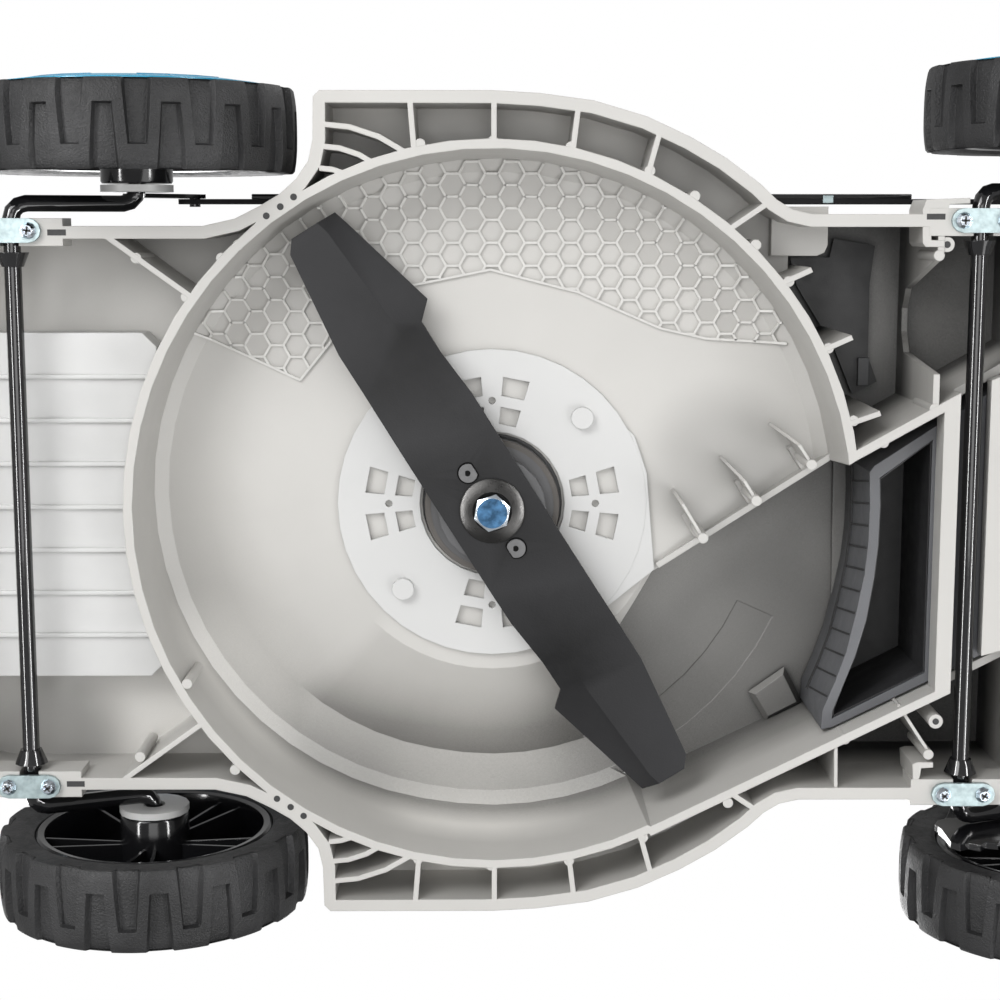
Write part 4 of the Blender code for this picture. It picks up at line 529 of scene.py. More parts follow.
def inside_comb(x, y):
    """Between the edge line and the ring wall, where the line is read as a radius for each angle."""
    r = math.hypot(x, y)
    if r > COMB_REACH:
        return False
    angle = math.atan2(y, x)
    first = math.atan2(COMB_EDGE[0][1], COMB_EDGE[0][0])
    last = math.atan2(COMB_EDGE[-1][1], COMB_EDGE[-1][0])
    if not first < angle < last:
        return False
    for (x0, y0), (x1, y1) in zip(COMB_EDGE, COMB_EDGE[1:]):
        a0 = math.atan2(y0, x0)
        a1 = math.atan2(y1, x1)
        if min(a0, a1) <= angle <= max(a0, a1):
            p = Vector((x0, y0)) * MM
            q = Vector((x1, y1)) * MM
            cross = (q.x - p.x) * (y - p.y) - (q.y - p.y) * (x - p.x)
            if cross < 0 if a1 > a0 else cross > 0:
                return True
    return False


def clipped(start, outer):
    """The part of a rib that lies inside the comb."""
    inner = start
    for i in range(CLIP_HALVINGS):
        middle = ((inner[0] + outer[0]) / 2, (inner[1] + outer[1]) / 2)
        if inside_comb(*middle):
            inner = middle
        else:
            outer = middle
    return start, inner


def comb_rib(bm, start, end):
    """One rib of the honeycomb, or a part of its edge, that follows the roof."""
    tops = (roof_z(*start) + COMB_LIFT, roof_z(*end) + COMB_LIFT)
    lows = tuple(z - COMB_DEPTH for z in tops)
    wall(bm, (start[0] + SHIFT, start[1]), (end[0] + SHIFT, end[1]), COMB_RIB, lows, tops)


def comb_corners(column, row):
    cx = column * HEX * 1.5
    cy = (row + 0.5 * (column % 2)) * HEX * math.sqrt(3)
    turns = [math.radians(60 * k) for k in range(6)]
    return [(round(cx + HEX * math.cos(turn), 5), round(cy + HEX * math.sin(turn), 5)) for turn in turns]


def comb_cell(bm, corners):
    """A sheet of painted shade on the floor of a whole cell, where the roof under it is level enough."""
    heights = [roof_z(*p) for p in corners]
    if all(inside_comb(*p) for p in corners) and max(heights) - min(heights) < CELL_FLAT:
        low = min(heights) - CELL_SINK
        bm.faces.new([bm.verts.new((x + SHIFT, y, low)) for x, y in corners])


def comb_sides(bm, corners, seen):
    """The ribs round one cell, each built once and cut off where the comb ends."""
    for k in range(6):
        ends = (corners[k], corners[(k + 1) % 6])
        key = tuple(sorted((round(x * RIB_GRID), round(y * RIB_GRID)) for x, y in ends))
        if key in seen:
            continue
        seen.add(key)
        kept = [inside_comb(*p) for p in ends]
        if any(kept) and not all(kept):
            ends = clipped(ends[kept.index(True)], ends[kept.index(False)])
        if any(kept):
            comb_rib(bm, *ends)


def honeycomb():
    ribs = bmesh.new()
    cells = bmesh.new()
    seen = set()
    for column in COMB_COLUMNS:
        for row in COMB_ROWS:
            corners = comb_corners(column, row)
            comb_cell(cells, corners)
            comb_sides(ribs, corners, seen)
    for a, b in zip(COMB_EDGE, COMB_EDGE[1:]):
        p = Vector(a) * MM
        q = Vector(b) * MM
        for i in range(EDGE_CUTS):
            comb_rib(ribs, p.lerp(q, i / EDGE_CUTS), p.lerp(q, (i + 1) / EDGE_CUTS))
    piece("roof_honeycomb", ribs, COMB_LIT, "deck", smooth=False)
    piece("comb_cells_shaded", cells, CELL_SHADED, "deck", smooth=False)


# Blade bolt, washer, drive pins and motor ring

HEX_TURN = 40.8
HEX_CORNER = 10.97
HEX_FACE = 8.6
BOLT_LOW = 59.5
HEAD_HIGH = 6.3
SHANK_RADIUS = 4.9
SHANK_TOP = 84.5
BOLT_STEPS = 48
WASHER_PROFILE = [(18.7, 69.6), (18.7, 68.9), (18.0, 68.4), (11.2, 66.6), (10.8, 66.9), (10.8, 69.6)]
MOTOR_RING_PROFILE = [(35.8, 87.7), (38.6, 87.6), (39.1, 88.1), (39.1, 89.0), (35.8, 89.0)]
ROUND_STEPS = 96
PIN_STEPS = 40
PIN_FLAT_HALF = 38
PIN_GAP_RADIUS = 6.3
PIN_RADIUS = 5.4
PIN_HOLE_RADIUS = 1.7
PIN_SPOTS = [(13.73, 21.72), (-13.73, -21.72)]
PIN_FLAT_WAY = 148.0


def bolt_head():
    """A round face, the chamfer that runs out at the corners, six sides and the shank above them."""
    bm = bmesh.new()
    rows = [[], [], [], [], []]
    for i in range(BOLT_STEPS):
        turn = 360.0 * i / BOLT_STEPS
        reach = HEX_CORNER * math.cos(math.radians(30)) / math.cos(math.radians(turn % 60.0 - 30.0))
        angle = math.radians(HEX_TURN + turn)
        slope = (reach - HEX_FACE) * math.tan(math.radians(30))
        spots = ((HEX_FACE, BOLT_LOW), (reach, BOLT_LOW + slope), (reach, BOLT_LOW + HEAD_HIGH),
                 (SHANK_RADIUS, BOLT_LOW + HEAD_HIGH), (SHANK_RADIUS, SHANK_TOP))
        for row, (r, z) in zip(rows, spots):
            row.append(bm.verts.new(at(r * math.cos(angle), r * math.sin(angle), z)))
    for here, after in zip(rows, rows[1:]):
        for j in range(BOLT_STEPS):
            k = (j + 1) % BOLT_STEPS
            bm.faces.new((here[j], here[k], after[k], after[j]))
    bm.faces.new(rows[-1])
    face = bm.faces.new(rows[0])
    face.material_index = 1
    obj = piece("bolt_shape", bm, BRIGHT, "rotor", split=22.0)
    obj.data.materials.append(BOLT)
    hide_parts("blade_bolt")


def washer_shape():
    bm = bmesh.new()
    lathed(bm, WASHER_PROFILE, ROUND_STEPS)
    obj = piece("washer_shape", bm, WASHER, "rotor", split=25.0)
    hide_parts("blade_washer")


def cut_round(spot, radius, flat):
    """Outline of a disc with one side cut off flat."""
    outline = []
    for i in range(PIN_STEPS):
        angle = 2 * math.pi * i / PIN_STEPS
        reach = radius
        turn = (angle - math.radians(flat) + math.pi) % (2 * math.pi) - math.pi
        if abs(turn) < math.radians(PIN_FLAT_HALF):
            reach = radius * math.cos(math.radians(PIN_FLAT_HALF)) / math.cos(turn)
        outline.append((spot[0] + reach * math.cos(angle), spot[1] + reach * math.sin(angle)))
    return outline


def drive_pins():
    light = bmesh.new()
    dark = bmesh.new()
    for n, spot in enumerate(PIN_SPOTS):
        flat = PIN_FLAT_WAY + 180.0 * n
        # A black ring of painted shade stands for the gap round each pin, and a black disc for the hole in
        # it
        plate(dark, cut_round(spot, PIN_GAP_RADIUS, flat), 69.85, 70.1)
        plate(light, cut_round(spot, PIN_RADIUS, flat), 68.35, 70.0)
        plate(dark, cut_round((spot[0] + 0.3, spot[1]), PIN_HOLE_RADIUS, 0.0), 68.3, 68.5)
    piece("pin_faces", light, PIN, "rotor", split=30.0)
    piece("pin_gap_shade", dark, GAP_SHADE, "rotor", split=30.0)
    ring = bmesh.new()
    lathed(ring, MOTOR_RING_PROFILE, ROUND_STEPS)
    piece("motor_ring", ring, MOTOR_RING, "deck", split=20.0)


# Screws that hold the axle clamps

CLAMP_SCREWS = [(278.5, 158.5), (255.5, 158.5), (-260.5, 164.0), (-283.5, 164.0)]
CROSS_HALF = 2.3
CROSS_WIDTH = 1.1


def screw_crosses():
    """The cross recess in each head as a flat dark cross of painted shade, each turned its own way."""
    dark = bmesh.new()
    count = 0
    for x, y in CLAMP_SCREWS:
        for side in (1, -1):
            angle = math.radians(17 + 41 * count)
            count += 1
            for turn in (angle, angle + math.pi / 2):
                reach_x = CROSS_HALF * math.cos(turn)
                reach_y = CROSS_HALF * math.sin(turn)
                start = (x - reach_x, y * side - reach_y)
                end = (x + reach_x, y * side + reach_y)
                bar(dark, start, end, CROSS_WIDTH, 52.0, 52.4)
    piece("screw_crosses", dark, SHADE, "deck", smooth=False)


# Small moulded features of the deck

RIM_Z = 58.0
BEADS = [(-146.1, 150.6), (-164.9, 130.5), (-187.8, 93.4), (-203, 52.7), (-220.3, 40.4), (-248.4, 59.4),
         (169.9, 122.0), (174.8, -98.4), (140.4, 150.6), (148.4, -149.3), (197, 143.4), (202.9, -141.5),
         (-111.9, 177.3), (-136.4, -169.5), (39.5, 205.5), (-0.6, 207.1), (-43.4, 203.9), (-86.9, 191.0),
         (43.2, -203.1), (0.8, -207.1), (-44.5, -204.2), (-87.4, -190.3), (-248, 144.7), (149.8, 143.4),
         (-119.5, -14.1), (-149.4, 7.3), (-180.1, 27.8), (-203.2, -131.6), (-251.6, -140.8)]
BOSSES = [(-252.4, 150.8), (-255.4, -121.4)]
HOLES = [(124.5, 166.5), (116.7, 171.5), (109.3, 176.8)]
CLIP = [(-238.6, 151.7), (-238, 170.1), (-240, 175.5), (-264, 176.4), (-264.1, 173.3), (-252.7, 172.8),
        (-251.2, 166.9), (-251.3, 163.6), (-243, 160.9), (-243.3, 153.3), (-250.6, 153), (-250.8, 149.5),
        (-240.3, 149.5)]
CLIP_HOLE = [(-240.3, 164.5), (-240.3, 167.7), (-250.6, 167.7), (-250.6, 164.5)]
BLOCK = [(-160.5, 172), (-160.5, 144), (-187, 144), (-191.2, 145.8), (-193, 150), (-193, 172)]
BACK_PANEL = [(-208.7, 124.8), (-221.9, 124.8), (-223.1, 82.9), (-209.9, 82.9)]
PANEL_SLOT = [(-218.3, 117.6), (-219.7, 117.6), (-219.7, 84.7), (-218.3, 84.7)]
RIM_SLOT = [(235.2, 155.8), (245.5, 155.8), (245.5, 159.1), (235.2, 159.1)]
LATCH = [(-222.1, 81.9), (-228.8, 81.9), (-228.8, 65), (-222.1, 65)]
RIGHT_CLIP = [(-242.6, -146.4), (-245.6, -145.3), (-254.5, -145.5), (-254.6, -148.5), (-247.7, -149.0),
              (-247.2, -153.3), (-246.4, -156.2), (-243.2, -156.7)]
FINS = [((-120.0, -14.8), (-108.0, 5.0), (-105.9, 8.0)), ((-150.0, 6.7), (-142.9, 18.1), (-133.9, 27.0)),
        ((-180.8, 27.3), (-173.4, 38.7), (-162.4, 46.6))]
PAD_FOOT = [(-159.9, -126.9), (-182.3, -110.9), (-194.5, -135.3), (-171.7, -147.0)]
PAD_TOP = [(-163.9, -127.8), (-181.0, -115.0), (-189.7, -132.5), (-172.2, -141.7)]
REAR_SILL = [(-281.5, 75.0), (-300.0, 82.0), (-303.0, -78.0), (-281.5, -84.0)]
TUNNEL_PANEL = [(-209.1, 19.4), (-217.5, 18.0), (-219.5, -80.5), (-210.6, -92.9)]
BAY_SHADE = [(-179.8, 142.2), (-203.5, 142.2), (-205.9, 153.4), (-230.8, 149.2), (-228.2, 126.7),
             (-228.4, 82.5), (-234.3, 67.3), (-219.3, 59.6), (-207.6, 87.9), (-195.2, 107.4),
             (-183.9, 125.7)]
FIN_THICK = 0.0018
BEAD_RADIUS = 0.0030
BOSS_RADIUS = 0.0042
HOLE_RADIUS = 0.0019


def lean_bar(bm, start, end, low_start, low_end, high):
    """A thin upright fin whose lower edge rises from one end to the other."""
    a = at(*start, 0)
    b = at(*end, 0)
    wall(bm, a[:2], b[:2], FIN_THICK, (low_start * MM, low_end * MM), high * MM)


def deck_beads():
    """Beads and bosses on the rim, clips, the block and the three bent fins."""
    bm = bmesh.new()
    for x, y in BEADS:
        rod(bm, at(x, y, RIM_Z + 0.03), at(x, y, 100), BEAD_RADIUS, 18)
    for x, y in BOSSES:
        rod(bm, at(x, y, RIM_Z + 1), at(x, y, 120), BOSS_RADIUS, 18)
    plate(bm, CLIP, RIM_Z + 0.03, 92)
    plate(bm, BLOCK, 98, 116)
    plate(bm, RIGHT_CLIP, RIM_Z + 0.03, 92)
    bar(bm, (-198.2, -133.5), (-198.8, -161.0), 2.0, 59.0, 150.0)
    for root, bend, toe in FINS:
        lean_bar(bm, root, bend, 60.0, 61.5, 104.0)
        lean_bar(bm, bend, toe, 61.5, 100.0, 104.0)
    lean_bar(bm, (-252.5, -140.2), (-234.0, -112.0), 60.0, 62.0, 150.0)
    piece("deck_beads", bm, DECK, "deck")


def chute_pad():
    """The raised pad in the chute, the panel beside the tunnel and the sill behind the rear rod."""
    pad = bmesh.new()
    low = [pad.verts.new(at(x, y, 150.4)) for x, y in PAD_FOOT]
    top = [pad.verts.new(at(x, y, 146.5)) for x, y in PAD_TOP]
    pad.faces.new(top)
    for j in range(4):
        k = (j + 1) % 4
        pad.faces.new((low[j], low[k], top[k], top[j]))
    plate(pad, TUNNEL_PANEL, 149.0, 150.6)
    plate(pad, REAR_SILL, 64, 73)
    piece("chute_pad", pad, DECK, "deck", split=20.0)


# A dark sheet of painted shade deep in the rear bay
def bay_shade_sheet():
    bay_sheet = bmesh.new()
    plate(bay_sheet, BAY_SHADE, 148.6, 149.0)
    piece("bay_shade_sheet", bay_sheet, SHADE_SHEET, "deck", split=30.0)


def deck_holes():
    """Holes and slots in the rim as dark pieces of painted shade."""
    dark = bmesh.new()
    for side in (1, -1):
        for x, y in HOLES:
            rod(dark, at(x, y * side, RIM_Z - 0.12), at(x, y * side, RIM_Z + 3), HOLE_RADIUS, 16)
    for x, y in BOSSES:
        rod(dark, at(x, y, RIM_Z + 0.8), at(x, y, RIM_Z + 8), HOLE_RADIUS, 14)
    plate(dark, CLIP_HOLE, RIM_Z - 0.1, RIM_Z + 2)
    for side in (1, -1):
        plate(dark, [(x, y * side) for x, y in RIM_SLOT], RIM_Z - 0.1, RIM_Z + 2)
    piece("deck_screw_holes", dark, SHADE, "deck", split=30.0)


def bay_panel():
    """The slotted panel and its latch at the back of the rear bay, with its slot as a dark strip of painted
    shade.
    """
    back = bmesh.new()
    plate(back, BACK_PANEL, 149, 151)
    plate(back, LATCH, 146, 149)
    piece("bay_panel", back, PLUG, "deck", split=30.0)
    groove = bmesh.new()
    plate(groove, PANEL_SLOT, 148.8, 149.2)
    piece("bay_panel_slot", groove, SHADE, "deck", split=30.0)


# Mulching plug's dark sheets of painted shade inside its hollow, and its outer ribs drawn as dark lines of
# painted shade

PLUG_INNER = [(-222.8, 17.2), (-223.5, 2.0), (-223.0, -21.0), (-221.3, -39.3), (-217.3, -65.3),
              (-211.4, -86.8), (-205.5, -102.3), (-199.8, -118.3), (-199.6, -122.6), (-251.4, -96.2),
              (-251.4, 38.9)]
PLUG_SIDE = [(-216.3, 20.0), (-217.0, 2.0), (-216.7, -20.0), (-215.0, -38.5), (-211.2, -59.0),
             (-205.6, -84.5), (-199.8, -101.3), (-192.7, -119.0)]
RIB_STEP = 13.0
RIB_LONG = 7.0
RIB_START = 4.0
RIB_COUNT = 11


def along_side(reach):
    """The place on the plug's curved side at a given length along it."""
    for a, b in zip(PLUG_SIDE, PLUG_SIDE[1:]):
        length = math.dist(a, b)
        if reach <= length:
            share = reach / length
            return a[0] + (b[0] - a[0]) * share, a[1] + (b[1] - a[1]) * share
        reach -= length
    return PLUG_SIDE[-1]


def plug_details():
    # Dark walls and a roof of painted shade inside the plug's hollow
    plug_sheet = bmesh.new()
    strip(plug_sheet, PLUG_INNER + PLUG_INNER[:1], 0.5, 76.5, 144.0)
    plate(plug_sheet, PLUG_INNER, 143.2, 144.0)
    piece("plug_shade_sheet", plug_sheet, SHADE_SHEET, "plug", split=30.0)
    # The ribs are thin dark rods and a dark strip of painted shade
    ribs = bmesh.new()
    for n in range(RIB_COUNT):
        near = along_side(RIB_START + RIB_STEP * n)
        far = along_side(RIB_START + RIB_LONG + RIB_STEP * n)
        rod(ribs, at(near[0] + 0.1, near[1], 77.5), at(far[0] + 0.1, far[1], 128.0), 0.0006, 8)
    strip(ribs, [(x + 0.2, y) for x, y in PLUG_SIDE], 0.9, 126.0, 129.0)
    piece("plug_ribs", ribs, SHADE, "plug", split=30.0)


# Link rod's folded edge

FOLD = [(140, 176.4), (140, 179.4), (-245, 179.4), (-245, 176.4)]
RIVET = [(-193, 174.2), (-193, 178.6), (-199, 178.6), (-199, 174.2)]


def link_edge():
    """The rod is folded along its outer side, and carries one rivet."""
    bm = bmesh.new()
    plate(bm, FOLD, 117, 131)
    piece("link_fold", bm, STEEL, "link", bevel=0.0006)
    rivet = bmesh.new()
    plate(rivet, RIVET, 116.4, 117.2)
    piece("link_rivet", rivet, ZINC, "link", split=30.0)


# Tyres, rims and caps

TREAD_R = 0.0909
SHOULDER_R = 0.0890
TYRE_HALF = 0.0235
POCKETS = 16
POCKET_DEPTH = 0.0036
POCKET_END = 0.0100
POCKET_NARROW = 0.0042
POCKET_FLARE = 0.0022
EDGE_DROP = 0.0008


def tread_columns():
    """Places across one pitch, each a side and an offset in half widths from that side's pocket.

    Side 0 is a plain place between two pockets.
    """
    return [(-1, 0.0), (-1, 0.5), (-1, 1.0), (-1, 1.25), (0, 0.0), (1, -1.25), (1, -1.0), (1, -0.5),
            (1, 0.0), (1, 0.5), (1, 1.0), (1, 1.25), (0, 1.0), (-1, -1.25), (-1, -1.0), (-1, -0.5)]


def pocket_half_width(y, side):
    """Half the pocket's width in metres: wide at the tyre's edge and narrow at its inner end."""
    share = (side * y + POCKET_END) / (TYRE_HALF + POCKET_END)
    share = min(1.0, max(0.0, share))
    return POCKET_NARROW + POCKET_FLARE * share


def tyre_mesh():
    bm = bmesh.new()
    half = TYRE_HALF
    rows = []
    steps = [-half, -half + 0.0012, -0.0180, -0.0140, -POCKET_END - 0.0009, -POCKET_END, -0.005, 0.0,
             0.005, POCKET_END, POCKET_END + 0.0009, 0.0140, 0.0180, half - 0.0012, half]
    for y in steps:
        share = abs(y) / half
        radius = TREAD_R - (TREAD_R - SHOULDER_R) * share ** 3
        if abs(y) == half:
            radius = SHOULDER_R - EDGE_DROP
        rows.append((y, radius, True))
    inner = [(half, 0.0862), (half - 0.0004, 0.0800), (half - 0.0008, 0.0735), (half - 0.0030, 0.0700)]
    outline = [(-y, r, False) for y, r in inner[::-1]] + rows + [(y, r, False) for y, r in inner]
    rings = []
    pitch = 2 * math.pi / POCKETS
    for y, radius, tread in outline:
        ring = []
        for n in range(POCKETS):
            base = n * pitch
            for side, offset in tread_columns():
                if side == 0:
                    angle = base + (0.25 if offset == 0.0 else 0.75) * pitch
                    r = radius
                else:
                    centre = base if side < 0 else base + pitch / 2
                    if side < 0 and offset < 0:
                        centre = base + pitch
                    angle = centre + offset * pocket_half_width(y, side) / TREAD_R
                    within = side * y > -POCKET_END - 0.0001
                    sunk = tread and within and abs(offset) <= 1.0
                    r = radius - POCKET_DEPTH if sunk else radius
                ring.append(bm.verts.new((r * math.sin(angle), y, r * math.cos(angle))))
        rings.append(ring)
    count = len(rings[0])
    for here, after in zip(rings, rings[1:] + rings[:1]):
        for j in range(count):
            k = (j + 1) % count
            bm.faces.new((here[j], here[k], after[k], after[j]))
    return bm


def turned(bm, profile, steps):
    """A closed ring about Y from (radius, y) points."""
    rings = []
    for i in range(steps):
        angle = 2 * math.pi * i / steps
        rings.append([bm.verts.new((r * math.sin(angle), y, r * math.cos(angle))) for r, y in profile])
    count = len(profile)
    for here, after in zip(rings, rings[1:] + rings[:1]):
        for j in range(count):
            k = (j + 1) % count
            bm.faces.new((here[j], here[k], after[k], after[j]))


RIM_BAND = [(0.0696, -0.0200), (0.0696, 0.0200), (0.0640, 0.0200), (0.0635, -0.0160), (0.0645, -0.0205),
            (0.0680, -0.0212)]
RIM_DISC = [(0.0645, 0.0120), (0.0645, 0.0140), (0.0180, 0.0160), (0.0180, 0.0140)]
HUB = [(0.0060, -0.0292), (0.0196, -0.0292), (0.0203, -0.0280), (0.0205, 0.0), (0.0205, 0.0150),
       (0.0060, 0.0150)]
HUB_STEPS = 48
SPOKES = 5


def rim_mesh():
    bm = bmesh.new()
    turned(bm, RIM_BAND, ROUND_STEPS)
    turned(bm, RIM_DISC, ROUND_STEPS)
    turned(bm, HUB, HUB_STEPS)
    for i in range(SPOKES):
        turn = Matrix.Rotation(2 * math.pi * (i + 0.5) / SPOKES, 4, "Y")
        for lean in (-1, 1):
            spoke_wall(bm, turn, lean)
    return bm


def spoke_wall(bm, turn, lean):
    """One thin wall of a spoke that leaves the hub with its twin and spreads towards the rim."""
    half = 0.0010
    near = Vector((lean * 0.0030, 0.0, 0.0190))
    far = Vector((lean * 0.0085, 0.0, 0.0640))
    side = Vector((1.0, 0.0, 0.0)) * half
    rows = []
    for spot, low in ((near, -0.0120), (far, -0.0170)):
        ring = [spot + side + Vector((0, low, 0)), spot - side + Vector((0, low, 0)),
                spot - side + Vector((0, 0.0135, 0)), spot + side + Vector((0, 0.0135, 0))]
        rows.append([bm.verts.new(turn @ p) for p in ring])
    for j in range(4):
        k = (j + 1) % 4
        bm.faces.new((rows[0][j], rows[0][k], rows[1][k], rows[1][j]))
    bm.faces.new(rows[0][::-1])
    bm.faces.new(rows[1])


CAP_RECESSES = 5
# Inner and outer end of a recess: the radius and half its angle in degrees
RECESS_INNER = (0.031, 15.0)
RECESS_OUTER = (0.060, 24.0)
CAP_DOME = 0.0055
CAP_FALL = 0.0019
CAP_EDGE = 0.060


def recess_outline(middle):
    """Corners of one recess as (radius, angle) round the cap."""
    outline = []
    for (r, half), order in ((RECESS_INNER, 1), (RECESS_OUTER, -1)):
        turns = [-half, -half / 3, half / 3, half][::order]
        outline += [(r, math.radians(middle + turn)) for turn in turns]
    return outline


def cap_face(name, centre, out):
    """Five shallow recesses on the domed face of a hub cap, in a darker blue of painted shade."""
    low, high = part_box("hubcap_" + name)
    inner = low[1] if out > 0 else high[1]
    deep = bmesh.new()
    for n in range(CAP_RECESSES):
        outline = recess_outline(360.0 / CAP_RECESSES * n)
        rows = []
        for lift in (0.0003, -0.0010):
            row = []
            for r, angle in outline:
                height = CAP_DOME - CAP_FALL * r / CAP_EDGE + lift
                row.append(deep.verts.new((centre[0] + r * math.sin(angle), inner + out * height,
                                           centre[2] + r * math.cos(angle))))
            rows.append(row)
        deep.faces.new(rows[0])
        for j in range(len(outline)):
            k = (j + 1) % len(outline)
            deep.faces.new((rows[0][j], rows[0][k], rows[1][k], rows[1][j]))
    piece("cap_recesses_" + name, deep, CAP_RECESS_SHADED, "wheel_" + name, split=30.0)


def wheel_set():
    for name in WHEELS:
        low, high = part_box("tyre_" + name)
        centre = [(a + b) / 2 for a, b in zip(low, high)]
        turn = 0.0 if centre[1] > 0 else math.pi
        for label, maker, mat in (("tyre", tyre_mesh, RUBBER), ("rim", rim_mesh, RIM)):
            bm = maker()
            bmesh.ops.rotate(bm, verts=bm.verts, cent=(0, 0, 0), matrix=Matrix.Rotation(turn, 3, "Z"))
            bmesh.ops.translate(bm, verts=bm.verts, vec=centre)
            obj = piece(label + "_shape_" + name, bm, mat, "wheel_" + name, split=38.0)
            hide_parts(label + "_" + name)
        soften("hubcap_" + name, CAP, 20.0)
        cap_face(name, centre, 1 if centre[1] > 0 else -1)
        soften("hub_spacer_" + name, SPACER, 40.0)


def cad_materials():
    soften("deck_housing", DECK, 28.0)
    soften("front_box", BOX, 30.0, 0.0008)
    soften("motor_plate", PALE, 30.0)
    soften("motor_body", MOTOR, 30.0)
    soften("blade_adapter", MOTOR, 30.0)
    soften("blade", BLADE, 20.0)
    for node in ("front_axle", "rear_axle", "bail_lever"):
        soften(node, STEEL, 50.0)
    soften("link_rod", LINK, 30.0)
    for node in ("height_lever", "notch_plate"):
        soften(node, STEEL, 30.0)
    for node in ("handle_lower_left", "handle_lower_right", "handle_brace"):
        soften(node, TUBE, 45.0)
    soften("handle_upper", GRIP, 45.0)
    for node in NODES:
        if node.startswith(("axle_clamp", "pivot_bolt")):
            soften(node, ZINC, 30.0)
        if node.startswith("clamp_screw"):
            soften(node, SCREW, 30.0)
        if node.startswith("fold_knob"):
            soften(node, BLACK, 30.0, 0.0008)
    soften("mulch_plug", PLUG, 25.0)
    soften("rear_flap", BLACK, 30.0)
    soften("top_cover", COVER, 32.0)
    soften("battery_bay", BLACK, 30.0, 0.0008)
    soften("battery_pack", BLACK, 30.0, 0.0015)
    soften("safety_key", RED, 30.0, 0.0006)
    soften("switch_box", BLACK, 30.0, 0.003)
    soften("lock_button", RED, 30.0, 0.0006)


# Camera, lights and floor

WORLD_DIFFUSE = 0.42
WORLD_GLOSSY = 0.50
LENS = 66.6
CAMERA_PLACE = (SHIFT + 0.0011, 0.1615, -0.9750)
CAMERA_BACK = (0.0053, 0.1470, -0.9891)
CAMERA_RIGHT = (-1.0, 0.0, -0.0053)
# Distances from the middle of the floor between which it fades to white
FADE_FROM = 0.7
FADE_TO = 2.0
FLOOR_SIZE = 6.0
FLOOR_DROP = 0.0005


def camera():
    data = bpy.data.cameras.new("view_from_below")
    data.sensor_width = 36.0
    data.lens = LENS
    data.clip_end = 50.0
    obj = bpy.data.objects.new("view_from_below", data)
    bpy.context.scene.collection.objects.link(obj)
    back = Vector(CAMERA_BACK).normalized()
    right = Vector(CAMERA_RIGHT).normalized()
    up = back.cross(right).normalized()
    rows = Matrix((right, up, back)).transposed().to_4x4()
    obj.matrix_world = Matrix.Translation(CAMERA_PLACE) @ rows
    bpy.context.scene.camera = obj


def lamp(name, place, aim, size, power):
    data = bpy.data.lights.new(name, "AREA")
    data.shape = "RECTANGLE"
    data.size = size[0]
    data.size_y = size[1]
    data.energy = power
    obj = bpy.data.objects.new(name, data)
    bpy.context.scene.collection.objects.link(obj)
    obj.location = place
    obj.rotation_mode = "QUATERNION"
    obj.rotation_quaternion = (Vector(aim) - Vector(place)).to_track_quat("-Z", "Y")
    return obj


def world():
    """White where the camera looks past the object, and a softer grey all round for everything else."""
    scene_world = bpy.data.worlds.new("studio")
    bpy.context.scene.world = scene_world
    scene_world.use_nodes = True
    tree = scene_world.node_tree
    backing = tree.nodes["Background"]
    backing.inputs["Color"].default_value = (1.0, 1.0, 1.0, 1.0)
    path = tree.nodes.new("ShaderNodeLightPath")
    seen = tree.nodes.new("ShaderNodeMath")
    seen.operation = "MAXIMUM"
    tree.links.new(path.outputs["Is Camera Ray"], seen.inputs[0])
    tree.links.new(path.outputs["Is Transmission Ray"], seen.inputs[1])
    plain = tree.nodes.new("ShaderNodeMapRange")
    plain.inputs["To Min"].default_value = WORLD_DIFFUSE
    plain.inputs["To Max"].default_value = WORLD_GLOSSY
    tree.links.new(path.outputs["Is Glossy Ray"], plain.inputs["Value"])
    strength = tree.nodes.new("ShaderNodeMapRange")
    strength.inputs["To Max"].default_value = 1.0
    tree.links.new(plain.outputs["Result"], strength.inputs["To Min"])
    tree.links.new(seen.outputs[0], strength.inputs["Value"])
    tree.links.new(strength.outputs["Result"], backing.inputs["Strength"])


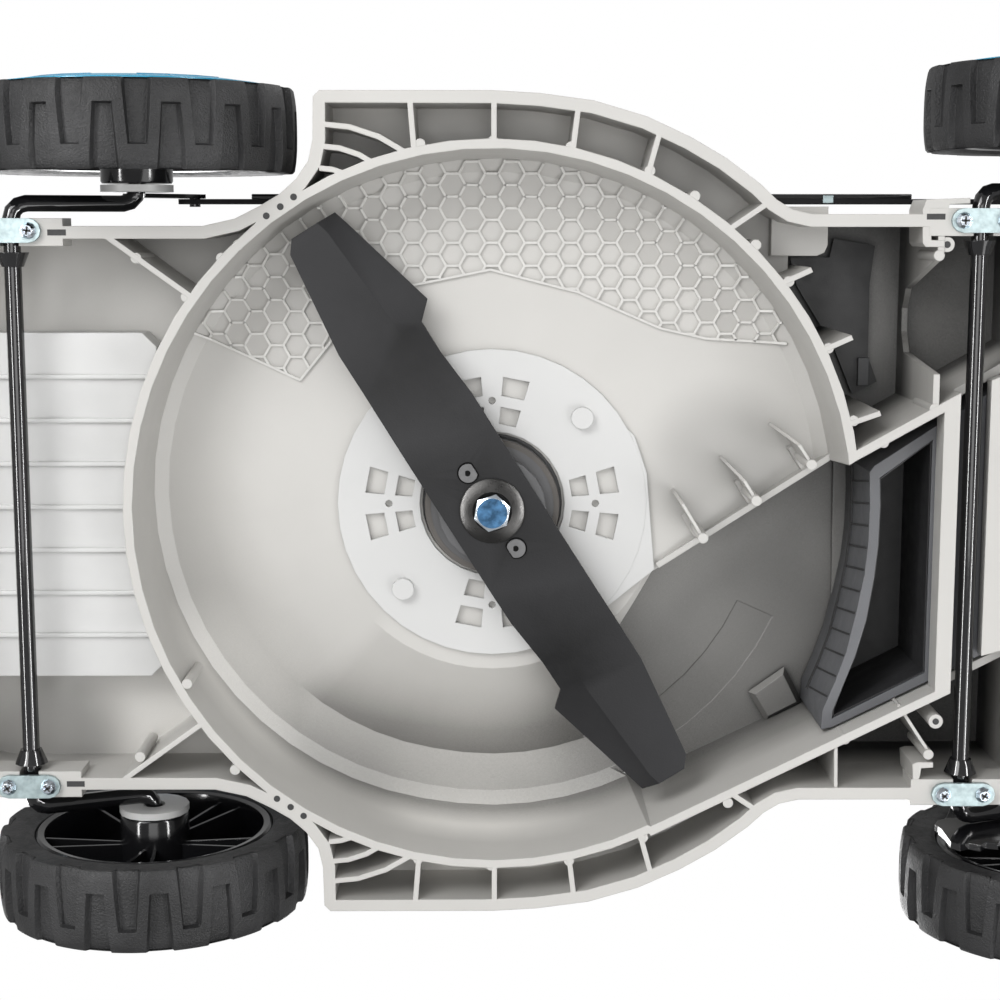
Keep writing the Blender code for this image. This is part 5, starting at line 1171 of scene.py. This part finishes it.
def floor():
    """A pale floor that fades to white and shows from above only: the view from below looks past it."""
    bm = bmesh.new()
    bmesh.ops.create_grid(bm, x_segments=1, y_segments=1, size=FLOOR_SIZE)
    mesh = bpy.data.meshes.new("floor")
    bm.to_mesh(mesh)
    bm.free()
    obj = bpy.data.objects.new("floor", mesh)
    bpy.context.scene.collection.objects.link(obj)
    obj.location = (0.0, 0.0, -FLOOR_DROP)
    mat, tree, shader = new_material("floor_paper")
    fibres = noise_node(tree, 40.0, 4.0)
    tone = ramp_colour(tree, fibres.outputs["Fac"], (0.80, 0.80, 0.80), (0.84, 0.84, 0.84))
    tree.links.new(tone, shader.inputs["Base Color"])
    shader.inputs["Roughness"].default_value = 0.9
    place = tree.nodes.new("ShaderNodeNewGeometry")
    reach = tree.nodes.new("ShaderNodeVectorMath")
    reach.operation = "LENGTH"
    tree.links.new(place.outputs["Position"], reach.inputs[0])
    fade = tree.nodes.new("ShaderNodeMapRange")
    fade.interpolation_type = "SMOOTHSTEP"
    fade.inputs["From Min"].default_value = FADE_FROM
    fade.inputs["From Max"].default_value = FADE_TO
    tree.links.new(reach.outputs["Value"], fade.inputs["Value"])
    paper = tree.nodes.new("ShaderNodeEmission")
    paper.inputs["Color"].default_value = (1.0, 1.0, 1.0, 1.0)
    path = tree.nodes.new("ShaderNodeLightPath")
    tree.links.new(path.outputs["Is Camera Ray"], paper.inputs["Strength"])
    far = tree.nodes.new("ShaderNodeMixShader")
    tree.links.new(fade.outputs["Result"], far.inputs[0])
    tree.links.new(shader.outputs[0], far.inputs[1])
    tree.links.new(paper.outputs[0], far.inputs[2])
    clear = tree.nodes.new("ShaderNodeBsdfTransparent")
    mix = tree.nodes.new("ShaderNodeMixShader")
    tree.links.new(place.outputs["Backfacing"], mix.inputs[0])
    tree.links.new(far.outputs[0], mix.inputs[1])
    tree.links.new(clear.outputs[0], mix.inputs[2])
    tree.links.new(mix.outputs[0], tree.nodes["Material Output"].inputs["Surface"])
    mesh.materials.append(mat)
    obj.visible_diffuse = False
    obj.visible_glossy = False
    obj.visible_transmission = False
    obj.visible_shadow = False


def lights():
    aim = (SHIFT, 0.0, 0.08)
    lamp("key_below", (SHIFT + 0.95, 1.05, -1.20), aim, (1.0, 1.0), 20.0)
    lamp("fill_below", (SHIFT - 1.10, -0.80, -1.20), aim, (1.0, 1.0), 9.0)
    lamp("soft_below", (SHIFT, 0.16, -2.20), aim, (1.2, 1.2), 13.0)
    for name, side in (("strip_ahead", 1), ("strip_behind", -1)):
        strip_lamp = lamp(name, (SHIFT + side * 1.25, 0.15, -1.0), aim, (1.7, 0.14), 26.0)
        strip_lamp.visible_diffuse = False
    lamp("key_above", (0.9, -1.6, 2.6), (0, 0, 0.3), (1.8, 1.4), 60.0)
    lamp("fill_above", (-1.4, 1.8, 2.0), (0, 0, 0.3), (1.6, 1.6), 26.0)


bpy.context.scene.view_settings.view_transform = "Standard"
camera()
world()
floor()
lights()
cad_materials()
wheel_set()
honeycomb()
bolt_head()
washer_shape()
drive_pins()
screw_crosses()
deck_beads()
chute_pad()
bay_shade_sheet()
deck_holes()
bay_panel()
plug_details()
link_edge()
